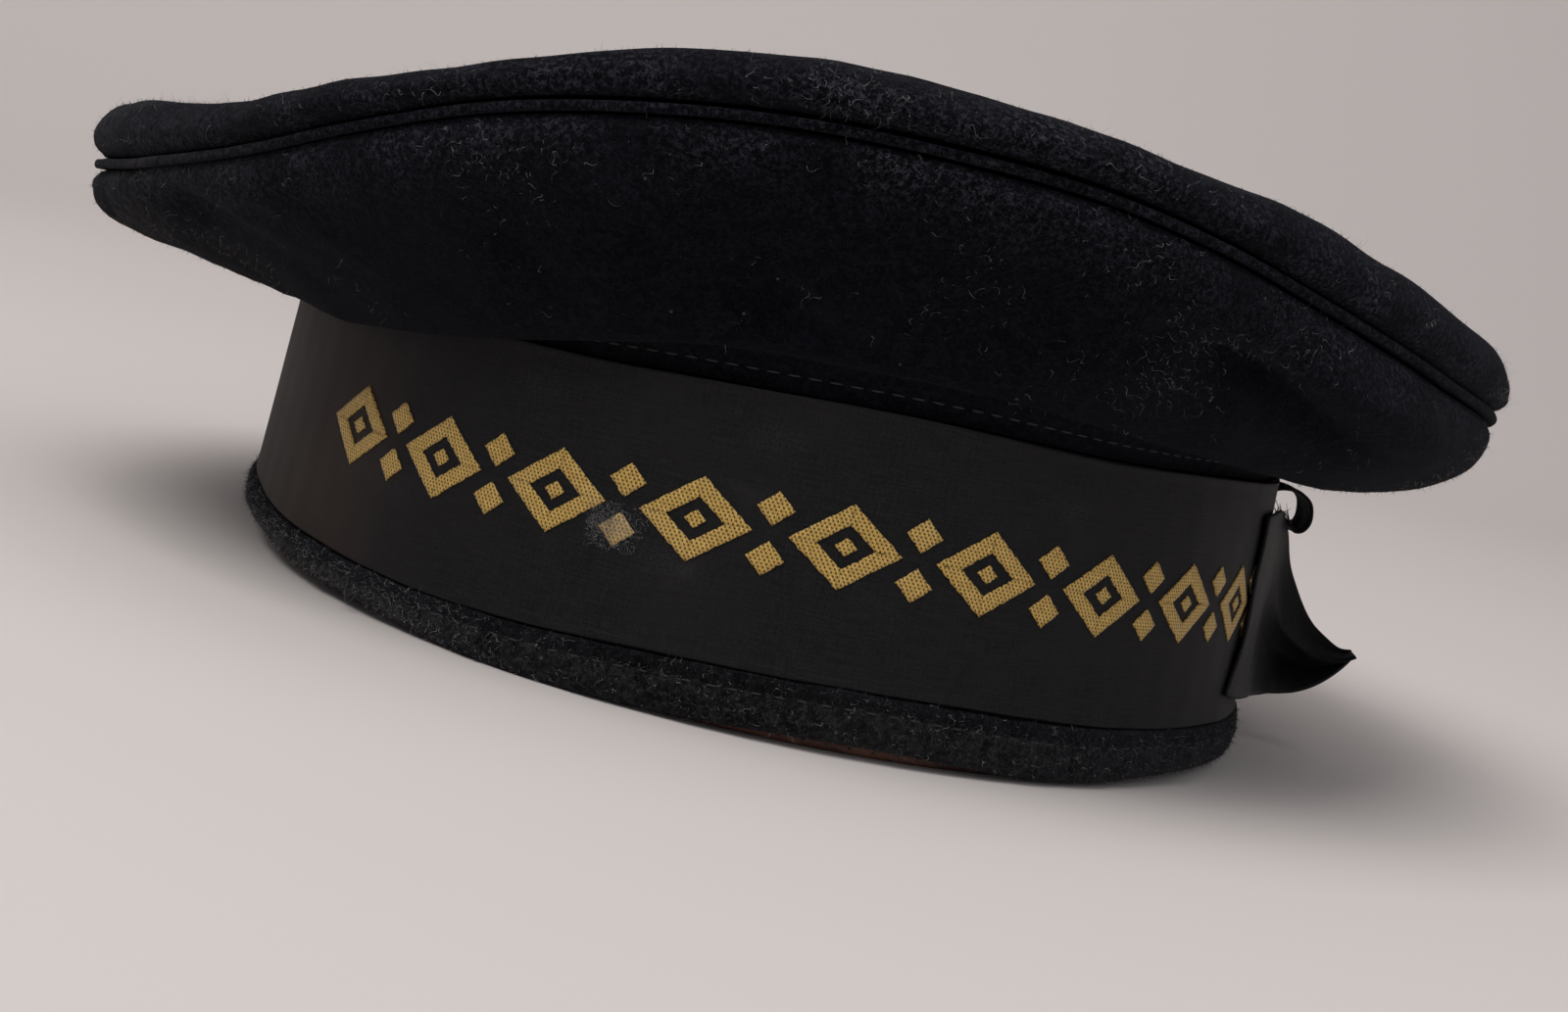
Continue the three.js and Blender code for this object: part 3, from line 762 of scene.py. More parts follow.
def fibre_finish(name, first, second, sheen):
    """Single loose fibres, each a little lighter or darker along its place on the cap."""
    material, tree, surface = new_material(name)
    place = object_place(tree)
    varied = noise(tree, place, 900.0, 2.0, 0.6)
    fine = noise(tree, place, 4000.0, 1.0)
    color = blend(tree, window(tree, varied, 0.36, 0.66), first, second)
    dress(tree, surface, color, 0.85, fine, 0.00003, 0.5)
    surface.inputs["Specular IOR Level"].default_value = 0.2
    surface.inputs["Sheen Weight"].default_value = sheen
    surface.inputs["Sheen Roughness"].default_value = 0.4
    return material


# A wave texture's scale for one wave in a metre.
WAVE_REPEAT = 0.314 / 20.0


def ribbed_silk(name, deep, worn, rib_pitch, sheen):
    """Black silk with fine upright ribs, uneven threads, dull worn patches and faint fluff."""
    material, tree, surface = new_material(name)
    flat = cloth_place(tree)
    place = object_place(tree)
    ribs = add(
        tree, "ShaderNodeTexWave",
        {"Vector": flat, "Scale": WAVE_REPEAT / (rib_pitch * MM), "Distortion": 0.4,
         "Detail": 1.0, "Detail Scale": 3.0},
        bands_direction="X",
    ).outputs["Fac"]
    weft = noise(tree, stretched(tree, flat, (180.0, 3600.0, 1.0)), 1.0, 3.0, 0.6)
    warp = noise(tree, stretched(tree, flat, (3200.0, 240.0, 1.0)), 1.0, 3.0, 0.6)
    grains = noise(tree, flat, 2600.0, 3.0, 0.75)
    patches = noise(tree, place, 42.0, 4.0, 0.6)
    scuffs = noise(tree, stretched(tree, flat, (30.0, 60.0, 1.0)), 1.0, 5.0, 0.7, 1.2)
    shade = calc(tree, "MULTIPLY_ADD", weft, 0.4, calc(tree, "MULTIPLY", warp, 0.3))
    shade = calc(tree, "MULTIPLY_ADD", grains, 0.5, shade)
    color = blend(tree, window(tree, shade, 0.50, 0.72), deep, worn)
    color = blend(tree, part_of(tree, window(tree, patches, 0.42, 0.68), 0.5), color, worn)
    scuffed = part_of(tree, window(tree, scuffs, 0.60, 0.80), 0.30)
    color = blend(tree, scuffed, color, (0.032, 0.030, 0.031, 1.0))
    stained = marked(tree, "stain")
    color = blend(tree, part_of(tree, stained, 0.6), color, (0.034, 0.022, 0.016, 1.0))
    rubbed_and_lit = marked(tree, "rubbed_and_lit")
    marks = calc(tree, "MULTIPLY", rubbed_and_lit, window(tree, grains, 0.40, 0.62))
    color = blend(tree, part_of(tree, marks, 0.3), color, (0.07, 0.07, 0.074, 1.0))
    height = calc(tree, "MULTIPLY_ADD", ribs, 0.5, calc(tree, "MULTIPLY", grains, 0.6))
    height = calc(tree, "MULTIPLY_ADD", weft, 0.4, height)
    rough = calc(tree, "MULTIPLY_ADD", patches, 0.22, 0.56)
    dress(tree, surface, color, rough, height, 0.00016, 0.7)
    surface.inputs["Specular IOR Level"].default_value = 0.2
    surface.inputs["Sheen Weight"].default_value = sheen
    surface.inputs["Sheen Roughness"].default_value = 0.4
    surface.inputs["Sheen Tint"].default_value = (0.75, 0.74, 0.8, 1.0)
    return material


# One cell of the gold's open weave, in metres.
GOLD_CELL = (0.00066, 0.00050)


def woven_gold():
    """Gold thread in an open weave: slanted dark cells in staggered rows, bright knots."""
    material, tree, surface = new_material("gold_thread")
    flat = cloth_place(tree)
    wobble = noise(tree, flat, 900.0, 1.0)
    parted = add(tree, "ShaderNodeSeparateXYZ", {0: flat})
    columns = calc(tree, "MULTIPLY", parted.outputs[0], 1 / GOLD_CELL[0])
    u = calc(tree, "MULTIPLY_ADD", wobble, 0.35, columns)
    v = calc(tree, "MULTIPLY", parted.outputs[1], 1 / GOLD_CELL[1])
    row = calc(tree, "FLOOR", v)
    stagger = calc(tree, "MULTIPLY", calc(tree, "MODULO", row, 2.0), 0.5)
    across = calc(tree, "SUBTRACT", calc(tree, "FRACT", calc(tree, "ADD", u, stagger)), 0.5)
    up = calc(tree, "SUBTRACT", calc(tree, "FRACT", v), 0.5)
    slant = calc(tree, "MULTIPLY_ADD", up, 0.30, across)
    wide = calc(tree, "POWER", calc(tree, "MULTIPLY", slant, 3.9), 2.0)
    tall = calc(tree, "POWER", calc(tree, "MULTIPLY", up, 2.5), 2.0)
    ring = calc(tree, "ADD", wide, tall)
    hollow = calc(tree, "SUBTRACT", 1.0, window(tree, ring, 0.25, 1.0))
    strands = noise(tree, stretched(tree, flat, (5200.0, 900.0, 1.0)), 1.0, 2.0, 0.6)
    aged = noise(tree, flat, 120.0, 3.0, 0.6)
    dull, bright = (0.40, 0.232, 0.040, 1.0), (0.74, 0.485, 0.120, 1.0)
    color = blend(tree, window(tree, strands, 0.30, 0.72), dull, bright)
    tarnish = part_of(tree, window(tree, aged, 0.45, 0.75), 0.35)
    color = blend(tree, tarnish, color, (0.58, 0.40, 0.135, 1.0))
    color = blend(tree, part_of(tree, hollow, 0.94), color, (0.055, 0.035, 0.012, 1.0))
    worn = marked(tree, "faded")
    color = blend(tree, part_of(tree, worn, 0.45), color, (0.55, 0.45, 0.33, 1.0))
    height = calc(tree, "SUBTRACT", calc(tree, "MULTIPLY", strands, 0.4), hollow)
    dress(tree, surface, color, 0.5, height, 0.00022, 0.9)
    surface.inputs["Specular IOR Level"].default_value = 0.4
    surface.inputs["Sheen Weight"].default_value = 0.1
    return material


def worn_leather():
    """Reddish-brown sweatband leather: pebbled grain, creases, dark handled patches."""
    material, tree, surface = new_material("sweatband_leather")
    place = object_place(tree)
    grain = add(tree, "ShaderNodeTexVoronoi", {"Vector": place, "Scale": 900.0}).outputs["Distance"]
    pores = noise(tree, place, 1900.0, 3.0, 0.6)
    patches = noise(tree, place, 30.0, 4.0, 0.6, 0.8)
    creases = noise(tree, stretched(tree, place, (60.0, 60.0, 420.0)), 1.0, 4.0, 0.6, 1.5)
    handled, clean = (0.050, 0.017, 0.011, 1.0), (0.16, 0.062, 0.035, 1.0)
    color = blend(tree, window(tree, patches, 0.36, 0.68), handled, clean)
    creased = part_of(tree, window(tree, creases, 0.55, 0.75), 0.6)
    color = blend(tree, creased, color, (0.028, 0.011, 0.008, 1.0))
    scuffed = part_of(tree, window(tree, pores, 0.56, 0.74), 0.35)
    color = blend(tree, scuffed, color, (0.24, 0.11, 0.065, 1.0))
    height = calc(tree, "MULTIPLY_ADD", pores, 0.4, grain)
    rough = calc(tree, "MULTIPLY_ADD", patches, 0.3, 0.38)
    dress(tree, surface, color, rough, height, 0.00018, 0.7)
    return material


def sewing_thread(name, shade):
    material, tree, surface = new_material(name)
    place = object_place(tree)
    twist = add(
        tree, "ShaderNodeTexWave", {"Vector": place, "Scale": 900.0, "Distortion": 1.0},
        bands_direction="DIAGONAL",
    ).outputs["Fac"]
    lighter = tuple(min(1.0, 2.2 * c) for c in shade[:3]) + (1.0,)
    color = blend(tree, part_of(tree, twist, 0.5), shade, lighter)
    dress(tree, surface, color, 0.7, twist, 0.00006, 0.6)
    return material


def pale_sweep():
    material, tree, surface = new_material("studio_paper")
    place = object_place(tree)
    broad = noise(tree, place, 1.3, 2.0)
    grain = noise(tree, place, 900.0, 2.0)
    color = blend(tree, broad, (0.60, 0.553, 0.535, 1.0), (0.65, 0.603, 0.585, 1.0))
    dress(tree, surface, color, 0.9, grain, 0.0001, 0.2)
    surface.inputs["Specular IOR Level"].default_value = 0.1
    return material


# ---------------------------------------------------------------- fibres and stitches

def tree_with_inputs(name, wanted):
    """A Geometry Nodes tree with its named inputs, and the sockets they come in by."""
    tree = bpy.data.node_groups.new(name, "GeometryNodeTree")
    for label, kind, default in wanted:
        socket = tree.interface.new_socket(label, in_out="INPUT", socket_type=kind)
        if default is not None:
            socket.default_value = default
    tree.interface.new_socket("Made", in_out="OUTPUT", socket_type="NodeSocketGeometry")
    entry = add(tree, "NodeGroupInput")
    return tree, {label: entry.outputs[label] for label, _, _ in wanted}


def finish_tree(tree, instances, finish):
    """Turns the instances into a plain mesh in one finish, and hands it out of the tree."""
    real = add(tree, "GeometryNodeRealizeInstances", {0: instances})
    dressed = add(
        tree, "GeometryNodeSetMaterial", {"Geometry": real.outputs[0], "Material": finish}
    )
    add(tree, "NodeGroupOutput", {0: dressed.outputs[0]})
    return tree


def nap_tree():
    """Short tapered fibres standing on a skin, denser where its nap attribute says so."""
    wanted = (
        ("Skin", "NodeSocketGeometry", None),
        ("Fibres per square metre", "NodeSocketFloat", 200000.0),
        ("Fibre length", "NodeSocketFloat", 0.001),
        ("Fibre radius", "NodeSocketFloat", 0.00003),
        ("Curl", "NodeSocketFloat", 0.5),
        ("Wiggle", "NodeSocketFloat", 0.0),
        ("Segments", "NodeSocketInt", 3),
        ("Lean", "NodeSocketFloat", 0.9),
        ("Seed", "NodeSocketInt", 1),
        ("Finish", "NodeSocketMaterial", None),
    )
    tree, told = tree_with_inputs("nap_fibres", wanted)
    share = add(tree, "GeometryNodeInputNamedAttribute", {"Name": "nap"}, data_type="FLOAT")
    density = calc(tree, "MULTIPLY", told["Fibres per square metre"], share.outputs[0])
    spots = add(
        tree, "GeometryNodeDistributePointsOnFaces",
        {"Mesh": told["Skin"], "Density": density, "Seed": told["Seed"]},
    )
    cone = add(
        tree, "GeometryNodeMeshCone",
        {"Vertices": 3, "Side Segments": told["Segments"], "Fill Segments": 1, "Radius Top": 0.0,
         "Radius Bottom": told["Fibre radius"], "Depth": told["Fibre length"]},
        fill_type="NGON",
    )
    position = add(tree, "GeometryNodeInputPosition").outputs[0]
    here = add(tree, "ShaderNodeSeparateXYZ", {0: position})
    up = calc(tree, "DIVIDE", here.outputs[2], told["Fibre length"])
    bent = calc(tree, "MULTIPLY", calc(tree, "MULTIPLY", up, up), told["Curl"])
    sideways = calc(tree, "MULTIPLY", bent, told["Fibre length"])
    sunk = calc(tree, "MULTIPLY", sideways, -0.5)
    wave = calc(tree, "SINE", calc(tree, "MULTIPLY", up, 7.0))
    sway = calc(tree, "MULTIPLY", wave, told["Wiggle"])
    swayed = calc(tree, "MULTIPLY", sway, told["Fibre length"])
    offset = add(tree, "ShaderNodeCombineXYZ", {0: sideways, 1: swayed, 2: sunk})
    fibre = add(
        tree, "GeometryNodeSetPosition",
        {"Geometry": cone.outputs["Mesh"], "Offset": offset.outputs[0]},
    )
    lean_back = calc(tree, "MULTIPLY", told["Lean"], -1.0)
    tilt_low = add(tree, "ShaderNodeCombineXYZ", {0: lean_back, 1: lean_back, 2: 0.0})
    tilt_high = add(tree, "ShaderNodeCombineXYZ", {0: told["Lean"], 1: told["Lean"], 2: 6.283})
    tilt = add(
        tree, "FunctionNodeRandomValue",
        {0: tilt_low.outputs[0], 1: tilt_high.outputs[0], "Seed": told["Seed"]},
        data_type="FLOAT_VECTOR",
    )
    turned = add(
        tree, "FunctionNodeRotateRotation",
        {0: spots.outputs["Rotation"],
         1: add(tree, "FunctionNodeEulerToRotation", {0: tilt.outputs[0]}).outputs[0]},
        rotation_space="LOCAL",
    )
    size = add(
        tree, "FunctionNodeRandomValue", {2: 0.45, 3: 1.35, "Seed": told["Seed"]},
        data_type="FLOAT",
    )
    planted = add(
        tree, "GeometryNodeInstanceOnPoints",
        {"Points": spots.outputs["Points"], "Instance": fibre.outputs[0],
         "Rotation": turned.outputs[0], "Scale": size.outputs[1]},
    )
    return finish_tree(tree, planted.outputs[0], told["Finish"])


def stitch_tree():
    """Short round stitches at even steps along an edge path, each tilted by a given angle."""
    wanted = (
        ("Path", "NodeSocketGeometry", None),
        ("Pitch", "NodeSocketFloat", 0.003),
        ("Stitch length", "NodeSocketFloat", 0.0018),
        ("Thread radius", "NodeSocketFloat", 0.0002),
        ("Slant", "NodeSocketFloat", 0.0),
        ("Unevenness", "NodeSocketFloat", 0.08),
        ("Seed", "NodeSocketInt", 1),
        ("Finish", "NodeSocketMaterial", None),
    )
    tree, told = tree_with_inputs("stitches", wanted)
    outline = add(tree, "GeometryNodeMeshToCurve", {0: told["Path"]})
    steps = add(
        tree, "GeometryNodeResampleCurve",
        {"Curve": outline.outputs[0], "Length": told["Pitch"]}, mode="LENGTH",
    )
    ball = add(tree, "GeometryNodeMeshUVSphere", {"Segments": 6, "Rings": 5, "Radius": 1.0})
    size = add(
        tree, "ShaderNodeCombineXYZ",
        {0: told["Thread radius"], 1: told["Thread radius"],
         2: calc(tree, "MULTIPLY", told["Stitch length"], 0.5)},
    )
    stitch = add(
        tree, "GeometryNodeTransform", {"Geometry": ball.outputs[0], "Scale": size.outputs[0]}
    )
    tangent = add(tree, "GeometryNodeInputTangent").outputs[0]
    along = add(
        tree, "FunctionNodeAlignRotationToVector", {"Vector": tangent},
        axis="Z", pivot_axis="AUTO",
    )
    least = calc(tree, "MULTIPLY", told["Unevenness"], -1.0)
    wander = add(
        tree, "FunctionNodeRandomValue",
        {2: least, 3: told["Unevenness"], "Seed": told["Seed"]}, data_type="FLOAT",
    )
    lean = calc(tree, "ADD", told["Slant"], wander.outputs[1])
    angles = add(tree, "ShaderNodeCombineXYZ", {0: lean})
    euler = add(tree, "FunctionNodeEulerToRotation", {0: angles.outputs[0]})
    turned = add(
        tree, "FunctionNodeRotateRotation", {0: along.outputs[0], 1: euler.outputs[0]},
        rotation_space="LOCAL",
    )
    placed = add(
        tree, "GeometryNodeInstanceOnPoints",
        {"Points": steps.outputs[0], "Instance": stitch.outputs[0], "Rotation": turned.outputs[0]},
    )
    return finish_tree(tree, placed.outputs[0], told["Finish"])


NAP_TREE = nap_tree()
STITCH_TREE = stitch_tree()


def made_by_nodes(name, holder, tree, values, finish):
    """Runs a node tree on a holder piece, and keeps only what it makes as a plain mesh."""
    modifier = holder.modifiers.new("made", "NODES")
    modifier.node_group = tree
    sockets = {
        item.name: item.identifier
        for item in tree.interface.items_tree
        if item.in_out == "INPUT"
    }
    for key, value in {**values, "Finish": finish}.items():
        modifier[sockets[key]] = value
    graph = bpy.context.evaluated_depsgraph_get()
    mesh = bpy.data.meshes.new_from_object(holder.evaluated_get(graph), depsgraph=graph)
    holder.modifiers.clear()
    bpy.data.objects.remove(holder)
    mesh.name = name
    mesh.materials.clear()
    mesh.materials.append(finish)
    mesh.polygons.foreach_set("material_index", np.zeros(len(mesh.polygons), dtype=np.int32))
    shade_smooth(mesh)
    mesh.update()
    return placed_object(name, mesh)


def fibres_on(name, grid, nap, finish, count, length, radius, curl, lean, seed,
              wiggle=0.0, segments=3, closed=True):
    """About count fibres on a grid of skin points, shared out by the nap attribute."""
    rows, across = grid.shape[:2]
    faces = grid_faces(rows, across, closed, False)[0]
    points = grid.reshape(-1, 3)
    skin = new_piece(name + "_skin", points, faces.tolist(), None, marks={"nap": nap})
    quads = (points * MM)[faces]
    crossed = np.cross(quads[:, 2] - quads[:, 0], quads[:, 3] - quads[:, 1])
    area = 0.5 * np.linalg.norm(crossed, axis=-1)
    weight = np.asarray(nap, float).ravel()[faces].mean(axis=1)
    values = {
        "Fibres per square metre": float(count / (area * weight).sum()),
        "Fibre length": length * MM,
        "Fibre radius": radius * MM,
        "Curl": curl,
        "Wiggle": wiggle,
        "Segments": segments,
        "Lean": lean,
        "Seed": seed,
    }
    return made_by_nodes(name, skin, NAP_TREE, values, finish)


def stitches_along(name, path, finish, pitch, length, radius, slant, unevenness, seed):
    """A row of stitches once round the cap, along a closed path of points."""
    mesh = bpy.data.meshes.new(name + "_path")
    count = len(path)
    edges = [(k, (k + 1) % count) for k in range(count)]
    mesh.from_pydata((np.asarray(path) * MM).tolist(), edges, [])
    holder = placed_object(name + "_path", mesh)
    values = {
        "Pitch": pitch * MM,
        "Stitch length": length * MM,
        "Thread radius": radius * MM,
        "Slant": slant,
        "Unevenness": unevenness,
        "Seed": seed,
    }
    return made_by_nodes(name, holder, STITCH_TREE, values, finish)


# ---------------------------------------------------------------- the finishes

# The crown's third colour is both its rubbed nap and painted light on the lit rolled rim.
WOOL = napped_wool(
    "crown_wool", (0.0004, 0.0004, 0.0008, 1.0), (0.0068, 0.0066, 0.0115, 1.0),
    (0.058, 0.060, 0.080, 1.0), (0.10, 0.103, 0.115, 1.0), 0.035, (0.050, 0.047, 0.048, 1.0), 0.03,
)
HEM_WOOL = napped_wool(
    "hem_wool", (0.0010, 0.0009, 0.0011, 1.0), (0.0135, 0.0128, 0.0145, 1.0),
    (0.070, 0.068, 0.068, 1.0), (0.15, 0.145, 0.14, 1.0), 0.06, (0.065, 0.060, 0.056, 1.0), 0.06,
)
SILK_BLACK = ribbed_silk(
    "black_silk", (0.0012, 0.0011, 0.0014, 1.0), (0.0098, 0.0090, 0.0108, 1.0), 0.42, 0.03
)
GOLD = woven_gold()
LEATHER = worn_leather()
WOOL_FIBRE = fibre_finish(
    "wool_fibre", (0.003, 0.003, 0.005, 1.0), (0.016, 0.016, 0.022, 1.0), 0.05
)
HEM_FIBRE = fibre_finish(
    "hem_fibre", (0.004, 0.004, 0.005, 1.0), (0.085, 0.080, 0.080, 1.0), 0.05
)
PALE_LINT = fibre_finish("pale_lint", (0.16, 0.16, 0.165, 1.0), (0.46, 0.45, 0.44, 1.0), 0.1)
SILK_FRAY = fibre_finish(
    "silk_fray", (0.012, 0.008, 0.007, 1.0), (0.055, 0.026, 0.018, 1.0), 0.1
)
BLACK_THREAD = sewing_thread("black_thread", (0.012, 0.012, 0.014, 1.0))
TAN_THREAD = sewing_thread("tan_thread", (0.10, 0.065, 0.045, 1.0))


# ---------------------------------------------------------------- the pieces

def steps_round(count):
    return 360.0 * np.arange(count) / count


def left_dust(points):
    """Dust on the crown's drooping left side, in soft patches."""
    side = smoothstep(-points[..., 0], 78, 116) * smoothstep(-points[..., 1], -40, 30)
    return np.clip(side * (0.55 + 0.6 * lumps(points, 8.0, 31)), 0, 1)


def rubbed_and_lit_rim(points, seam_z, spread):
    """How rubbed the nap is, and how much painted light the lit rolled rim gets: most along the
    rim, in uneven patches.
    """
    reach = np.abs(points[..., 2] - seam_z)
    patches = 0.62 + 0.38 * lumps(points, 7.0, 33)
    return np.clip(np.exp(-((reach / spread) ** 2)) * patches, 0, 1)


def crown_top():
    rings = 1 - np.linspace(0, 1, 42)[1:-1] ** 1.15
    az = steps_round(ROUND_TOP)
    outer = top_lines(az, ROLL_STEPS, rings)
    inner = shift_line(outer, CLOTH)
    inner[:, 0] = outer[:, 0] - [CLOTH, 0]
    outer_points = polar(az[:, None], outer[..., 0], outer[..., 1])
    inner_points = polar(az[:, None], inner[..., 0], inner[..., 1])
    grid = np.concatenate([inner_points[:, ::-1], outer_points], axis=1)
    rows, across = grid.shape[:2]
    middle = top_height(np.zeros(1), 0.0)[0]
    points = np.concatenate(
        [grid.reshape(-1, 3), [[OVAL_X, 0, middle - CLOTH], [OVAL_X, 0, middle]]]
    )
    faces = grid_faces(rows, across, True, False)[0].tolist()
    inside, outside = len(points) - 2, len(points) - 1
    for i in range(rows):
        after = (i + 1) % rows
        faces.append([i * across, inside, after * across])
        faces.append([i * across + across - 1, after * across + across - 1, outside])
    # The top, most of all its rolled rim, is made paler by rubbing and by painted light.
    rim = rubbed_and_lit_rim(points, crown_section(azimuth_of(points))["rim_z"] + 3.0, 9.0)
    outward = 0.35 + 0.65 * smoothstep(reach_of(points), 60, 106)
    marks = {"dust": left_dust(points), "rubbed_and_lit": np.maximum(rim, 0.25) * outward}
    return new_piece("crown_top_cloth", points, faces, WOOL, marks=marks), outer_points


def crown_side():
    az = steps_round(ROUND_SIDE)
    outer = side_lines(az, SIDE_STEPS)
    inner = shift_line(outer, CLOTH)
    inner[:, -1] = outer[:, -1] - [CLOTH, 0]
    profiles = np.concatenate([outer, inner[:, ::-1]], axis=1)
    points = polar(az[:, None], profiles[..., 0], profiles[..., 1])
    seam_z = crown_section(az)["rim_z"][:, None]
    # The side is made paler near the seam by rubbing and by painted light.
    marks = {"dust": left_dust(points), "rubbed_and_lit": rubbed_and_lit_rim(points, seam_z, 7.5) * 0.8}
    piece = ring_piece("crown_side_cloth", az, profiles, WOOL, marks=marks)
    return piece, polar(az[:, None], outer[..., 0], outer[..., 1])


def crown_welt():
    """The narrow strip in the seam between the top and the side."""
    az = steps_round(ROUND_SIDE)
    rim = rim_radius(az)
    low = crown_section(az)["rim_z"] + SEAM_GAP
    turn = np.linspace(-0.5, 0.5, 11) * math.pi
    out = 0.45 * np.cos(turn) - 0.35
    up = (np.sin(turn) + 1) / 2 * WELT_HEIGHT
    wander = 0.08 * np.sin(np.radians(az * 23)) + 0.06 * np.sin(np.radians(az * 61))
    r = rim[:, None] + out + wander[:, None]
    z = low[:, None] + up
    back = rim - 2.2
    profiles = np.concatenate(
        [
            np.stack([back, low], -1)[:, None],
            np.stack([r, z], -1),
            np.stack([back, low + WELT_HEIGHT], -1)[:, None],
        ],
        axis=1,
    )
    points = polar(az[:, None], profiles[..., 0], profiles[..., 1])
    # The welt is made evenly paler by rubbing and by painted light.
    marks = {"dust": left_dust(points), "rubbed_and_lit": np.full(points.shape[:2], 0.45)}
    return ring_piece("crown_welt_strip", az, profiles, WOOL, marks=marks)


def band_profile(az, rows):
    """[radius, z] profiles from rows of (out, z) at each azimuth."""
    return np.stack([np.stack([band_face(az, z) + out, z], axis=-1) for out, z in rows], axis=1)


def hem_lines(az, steps):
    """The rolled hem's outer lines from its underside to its top edge."""
    lift = hem_lift(az)
    top = HEM_TOP + band_shift(az)
    rows = [
        (-1.9, lift),
        (-0.5, lift),
        (0.55, lerp(lift, top, 0.16)),
        (HEM_BULGE, lerp(lift, top, 0.45)),
        (HEM_BULGE * 0.85, lerp(lift, top, 0.8)),
        (0.1, top),
    ]
    lines = soft_curve(band_profile(az, rows), steps)
    r, z = lines[..., 0], lines[..., 1]
    height = (z - lift[:, None]) / (top - lift)[:, None]
    points = polar(az[:, None], r, z)
    from_seam = height - HEM_SEAM_SHARE
    groove = 0.42 * np.exp(-((from_seam / 0.05) ** 2)) * (0.7 + 0.3 * lumps(points, 12.0, 41))
    pinch = 0.16 * np.exp(-((from_seam / 0.14) ** 2)) * np.sin(np.radians(az * 118))[:, None]
    uneven = 0.24 * lumps(points, 5.0, 42) + 0.12 * lumps(points, 2.2, 43)
    ease = smoothstep(height, 0.02, 0.3)
    return shift_line(lines, groove + (uneven + pinch) * ease)


def headband():
    az = steps_round(ROUND_BAND)
    lift, up = hem_lift(az), band_shift(az)
    hem = hem_lines(az, HEM_STEPS)
    outer = -BAND_INSET - LAYER_GAP
    inner = outer - BAND_WALL
    rows = [
        (outer, HEM_TOP + up),
        (outer, BAND_MIDDLE + 0 * up),
        (outer, BAND_TOP + up),
        (inner, BAND_TOP + up),
        (inner, BAND_MIDDLE + 0 * up),
        (inner, 2.2 + lift),
    ]
    profiles = np.concatenate([hem, band_profile(az, rows)], axis=1)
    turn = wrapped(az)
    dusty = smoothstep(-turn, 118, 135) * 0.9 + 0.25
    dust = np.broadcast_to(dusty[:, None], profiles.shape[:2])
    under = smoothstep((HEM_TOP + band_shift(az) - 1.6)[:, None] - profiles[..., 1], 0, 1.2)
    marks = {"dust": dust * under, "rubbed_and_lit": (0.35 + 0.4 * dust) * under}
    piece = ring_piece("headband_cloth", az, profiles, HEM_WOOL, marks=marks)
    return piece, polar(az[:, None], hem[..., 0], hem[..., 1])


def sweatband():
    az = steps_round(ROUND_BAND)
    outer = LEATHER_FACE
    inner = outer - LEATHER_WALL
    wave = 0.05 * np.sin(np.radians(az * 9)) + 0.05 * np.sin(np.radians(az * 23))
    flat = np.zeros_like(az)
    hidden = 1 - smoothstep(az - 250, 0, 5) * (1 - smoothstep(az - 287, 0, 6))
    low = np.maximum(hem_lift(az) - 0.5, 0) * hidden
    rows = [
        (inner + 0.4, 0.15 + low),
        (outer + 0.3, 0.15 + low),
        (outer + 0.75, 0.5 + low),
        (outer + 0.7, 1.3 + low),
        (outer, 2.6 + low),
        (outer, 20 + flat),
        (outer, LEATHER_TOP - 0.4 + flat),
        (outer - 0.3, LEATHER_TOP + flat),
        (inner + 0.3, LEATHER_TOP + flat),
        (inner + wave, LEATHER_TOP - 0.4 + flat),
        (inner + wave, 30 + flat),
        (inner - wave, 20 + flat),
        (inner + wave, 10 + flat),
        (inner, 3 + low),
        (inner, 0.8 + low),
        (inner + 0.12, 0.35 + low),
    ]
    return ring_piece("sweatband_skin", az, band_profile(az, rows), LEATHER)


def silk_wave(az, z):
    """How far the ribbon stands off its even face, in soft ripples and at its edges."""
    points = polar(az, 90.0, z)
    ripple = 0.10 * lumps(points, 22.0, 51) + 0.05 * lumps(points, 7.0, 52)
    tightness = 0.5 + 0.5 * smoothstep(np.abs(z - BAND_MIDDLE), 6, 19)
    return ripple * tightness


def ribbon():
    az = steps_round(ROUND_BAND)
    up = band_shift(az)
    heights = np.concatenate(
        [[0.0, 0.25, 0.7, 1.1], np.linspace(2.0, 36.0, 18), [36.9, 37.3, 37.75, RIBBON_HEIGHT]]
    )
    bead = np.where((heights < 0.8) | (heights > 37.2), 0.08, 0.0)
    wander = 0.14 * lumps(polar(az, 90.0, 0.0), 18.0, 53)
    rows_out, rows_in = [], []
    for height, thicker in zip(heights, bead):
        from_middle = 2 * (height / RIBBON_HEIGHT) - 1
        edge_wander = wander * from_middle * (np.abs(from_middle) > 0.9)
        z = RIBBON_BOTTOM + height + up + edge_wander
        out = silk_wave(az, RIBBON_BOTTOM + height + 0 * az)
        rows_out.append((out + thicker, z))
        rows_in.append((out - RIBBON_SILK, z))
    profiles = band_profile(az, rows_out + rows_in[::-1])
    turn = wrapped(az)[:, None]
    z = profiles[..., 1]
    stain = smoothstep(-turn, 128, 140) * smoothstep(45 - z, 0, 14) * 0.9
    rubbed_and_lit = np.zeros(z.shape)
    for spot_az, spot_z, half_az, half_z in RUBBED_SPOTS:
        away = ((turn - spot_az) / half_az) ** 2 + ((z - spot_z) / half_z) ** 2
        rubbed_and_lit += np.exp(-away)
    marks = {"stain": np.clip(stain, 0, 1), "rubbed_and_lit": np.clip(rubbed_and_lit * 0.5, 0, 1)}
    return ring_piece("ribbon_silk", az, profiles, SILK_BLACK, marks=marks)


def border_place(s, height):
    """A point on the ribbon's face for a distance s round it and a height in the border."""
    az = np.interp(s, BORDER_REACH, BORDER_AZ)
    z = BORDER_LOW + height
    out = silk_wave(az, z)
    return az, out, z + band_shift(az.ravel()).reshape(az.shape)


BORDER_AZ = np.linspace(BORDER_FROM, BORDER_TO, 1200)
BORDER_POINTS = on_band(BORDER_AZ, 0.0, BAND_MIDDLE)
BORDER_REACH = running_length(np.linalg.norm(np.diff(BORDER_POINTS, axis=0), axis=-1))


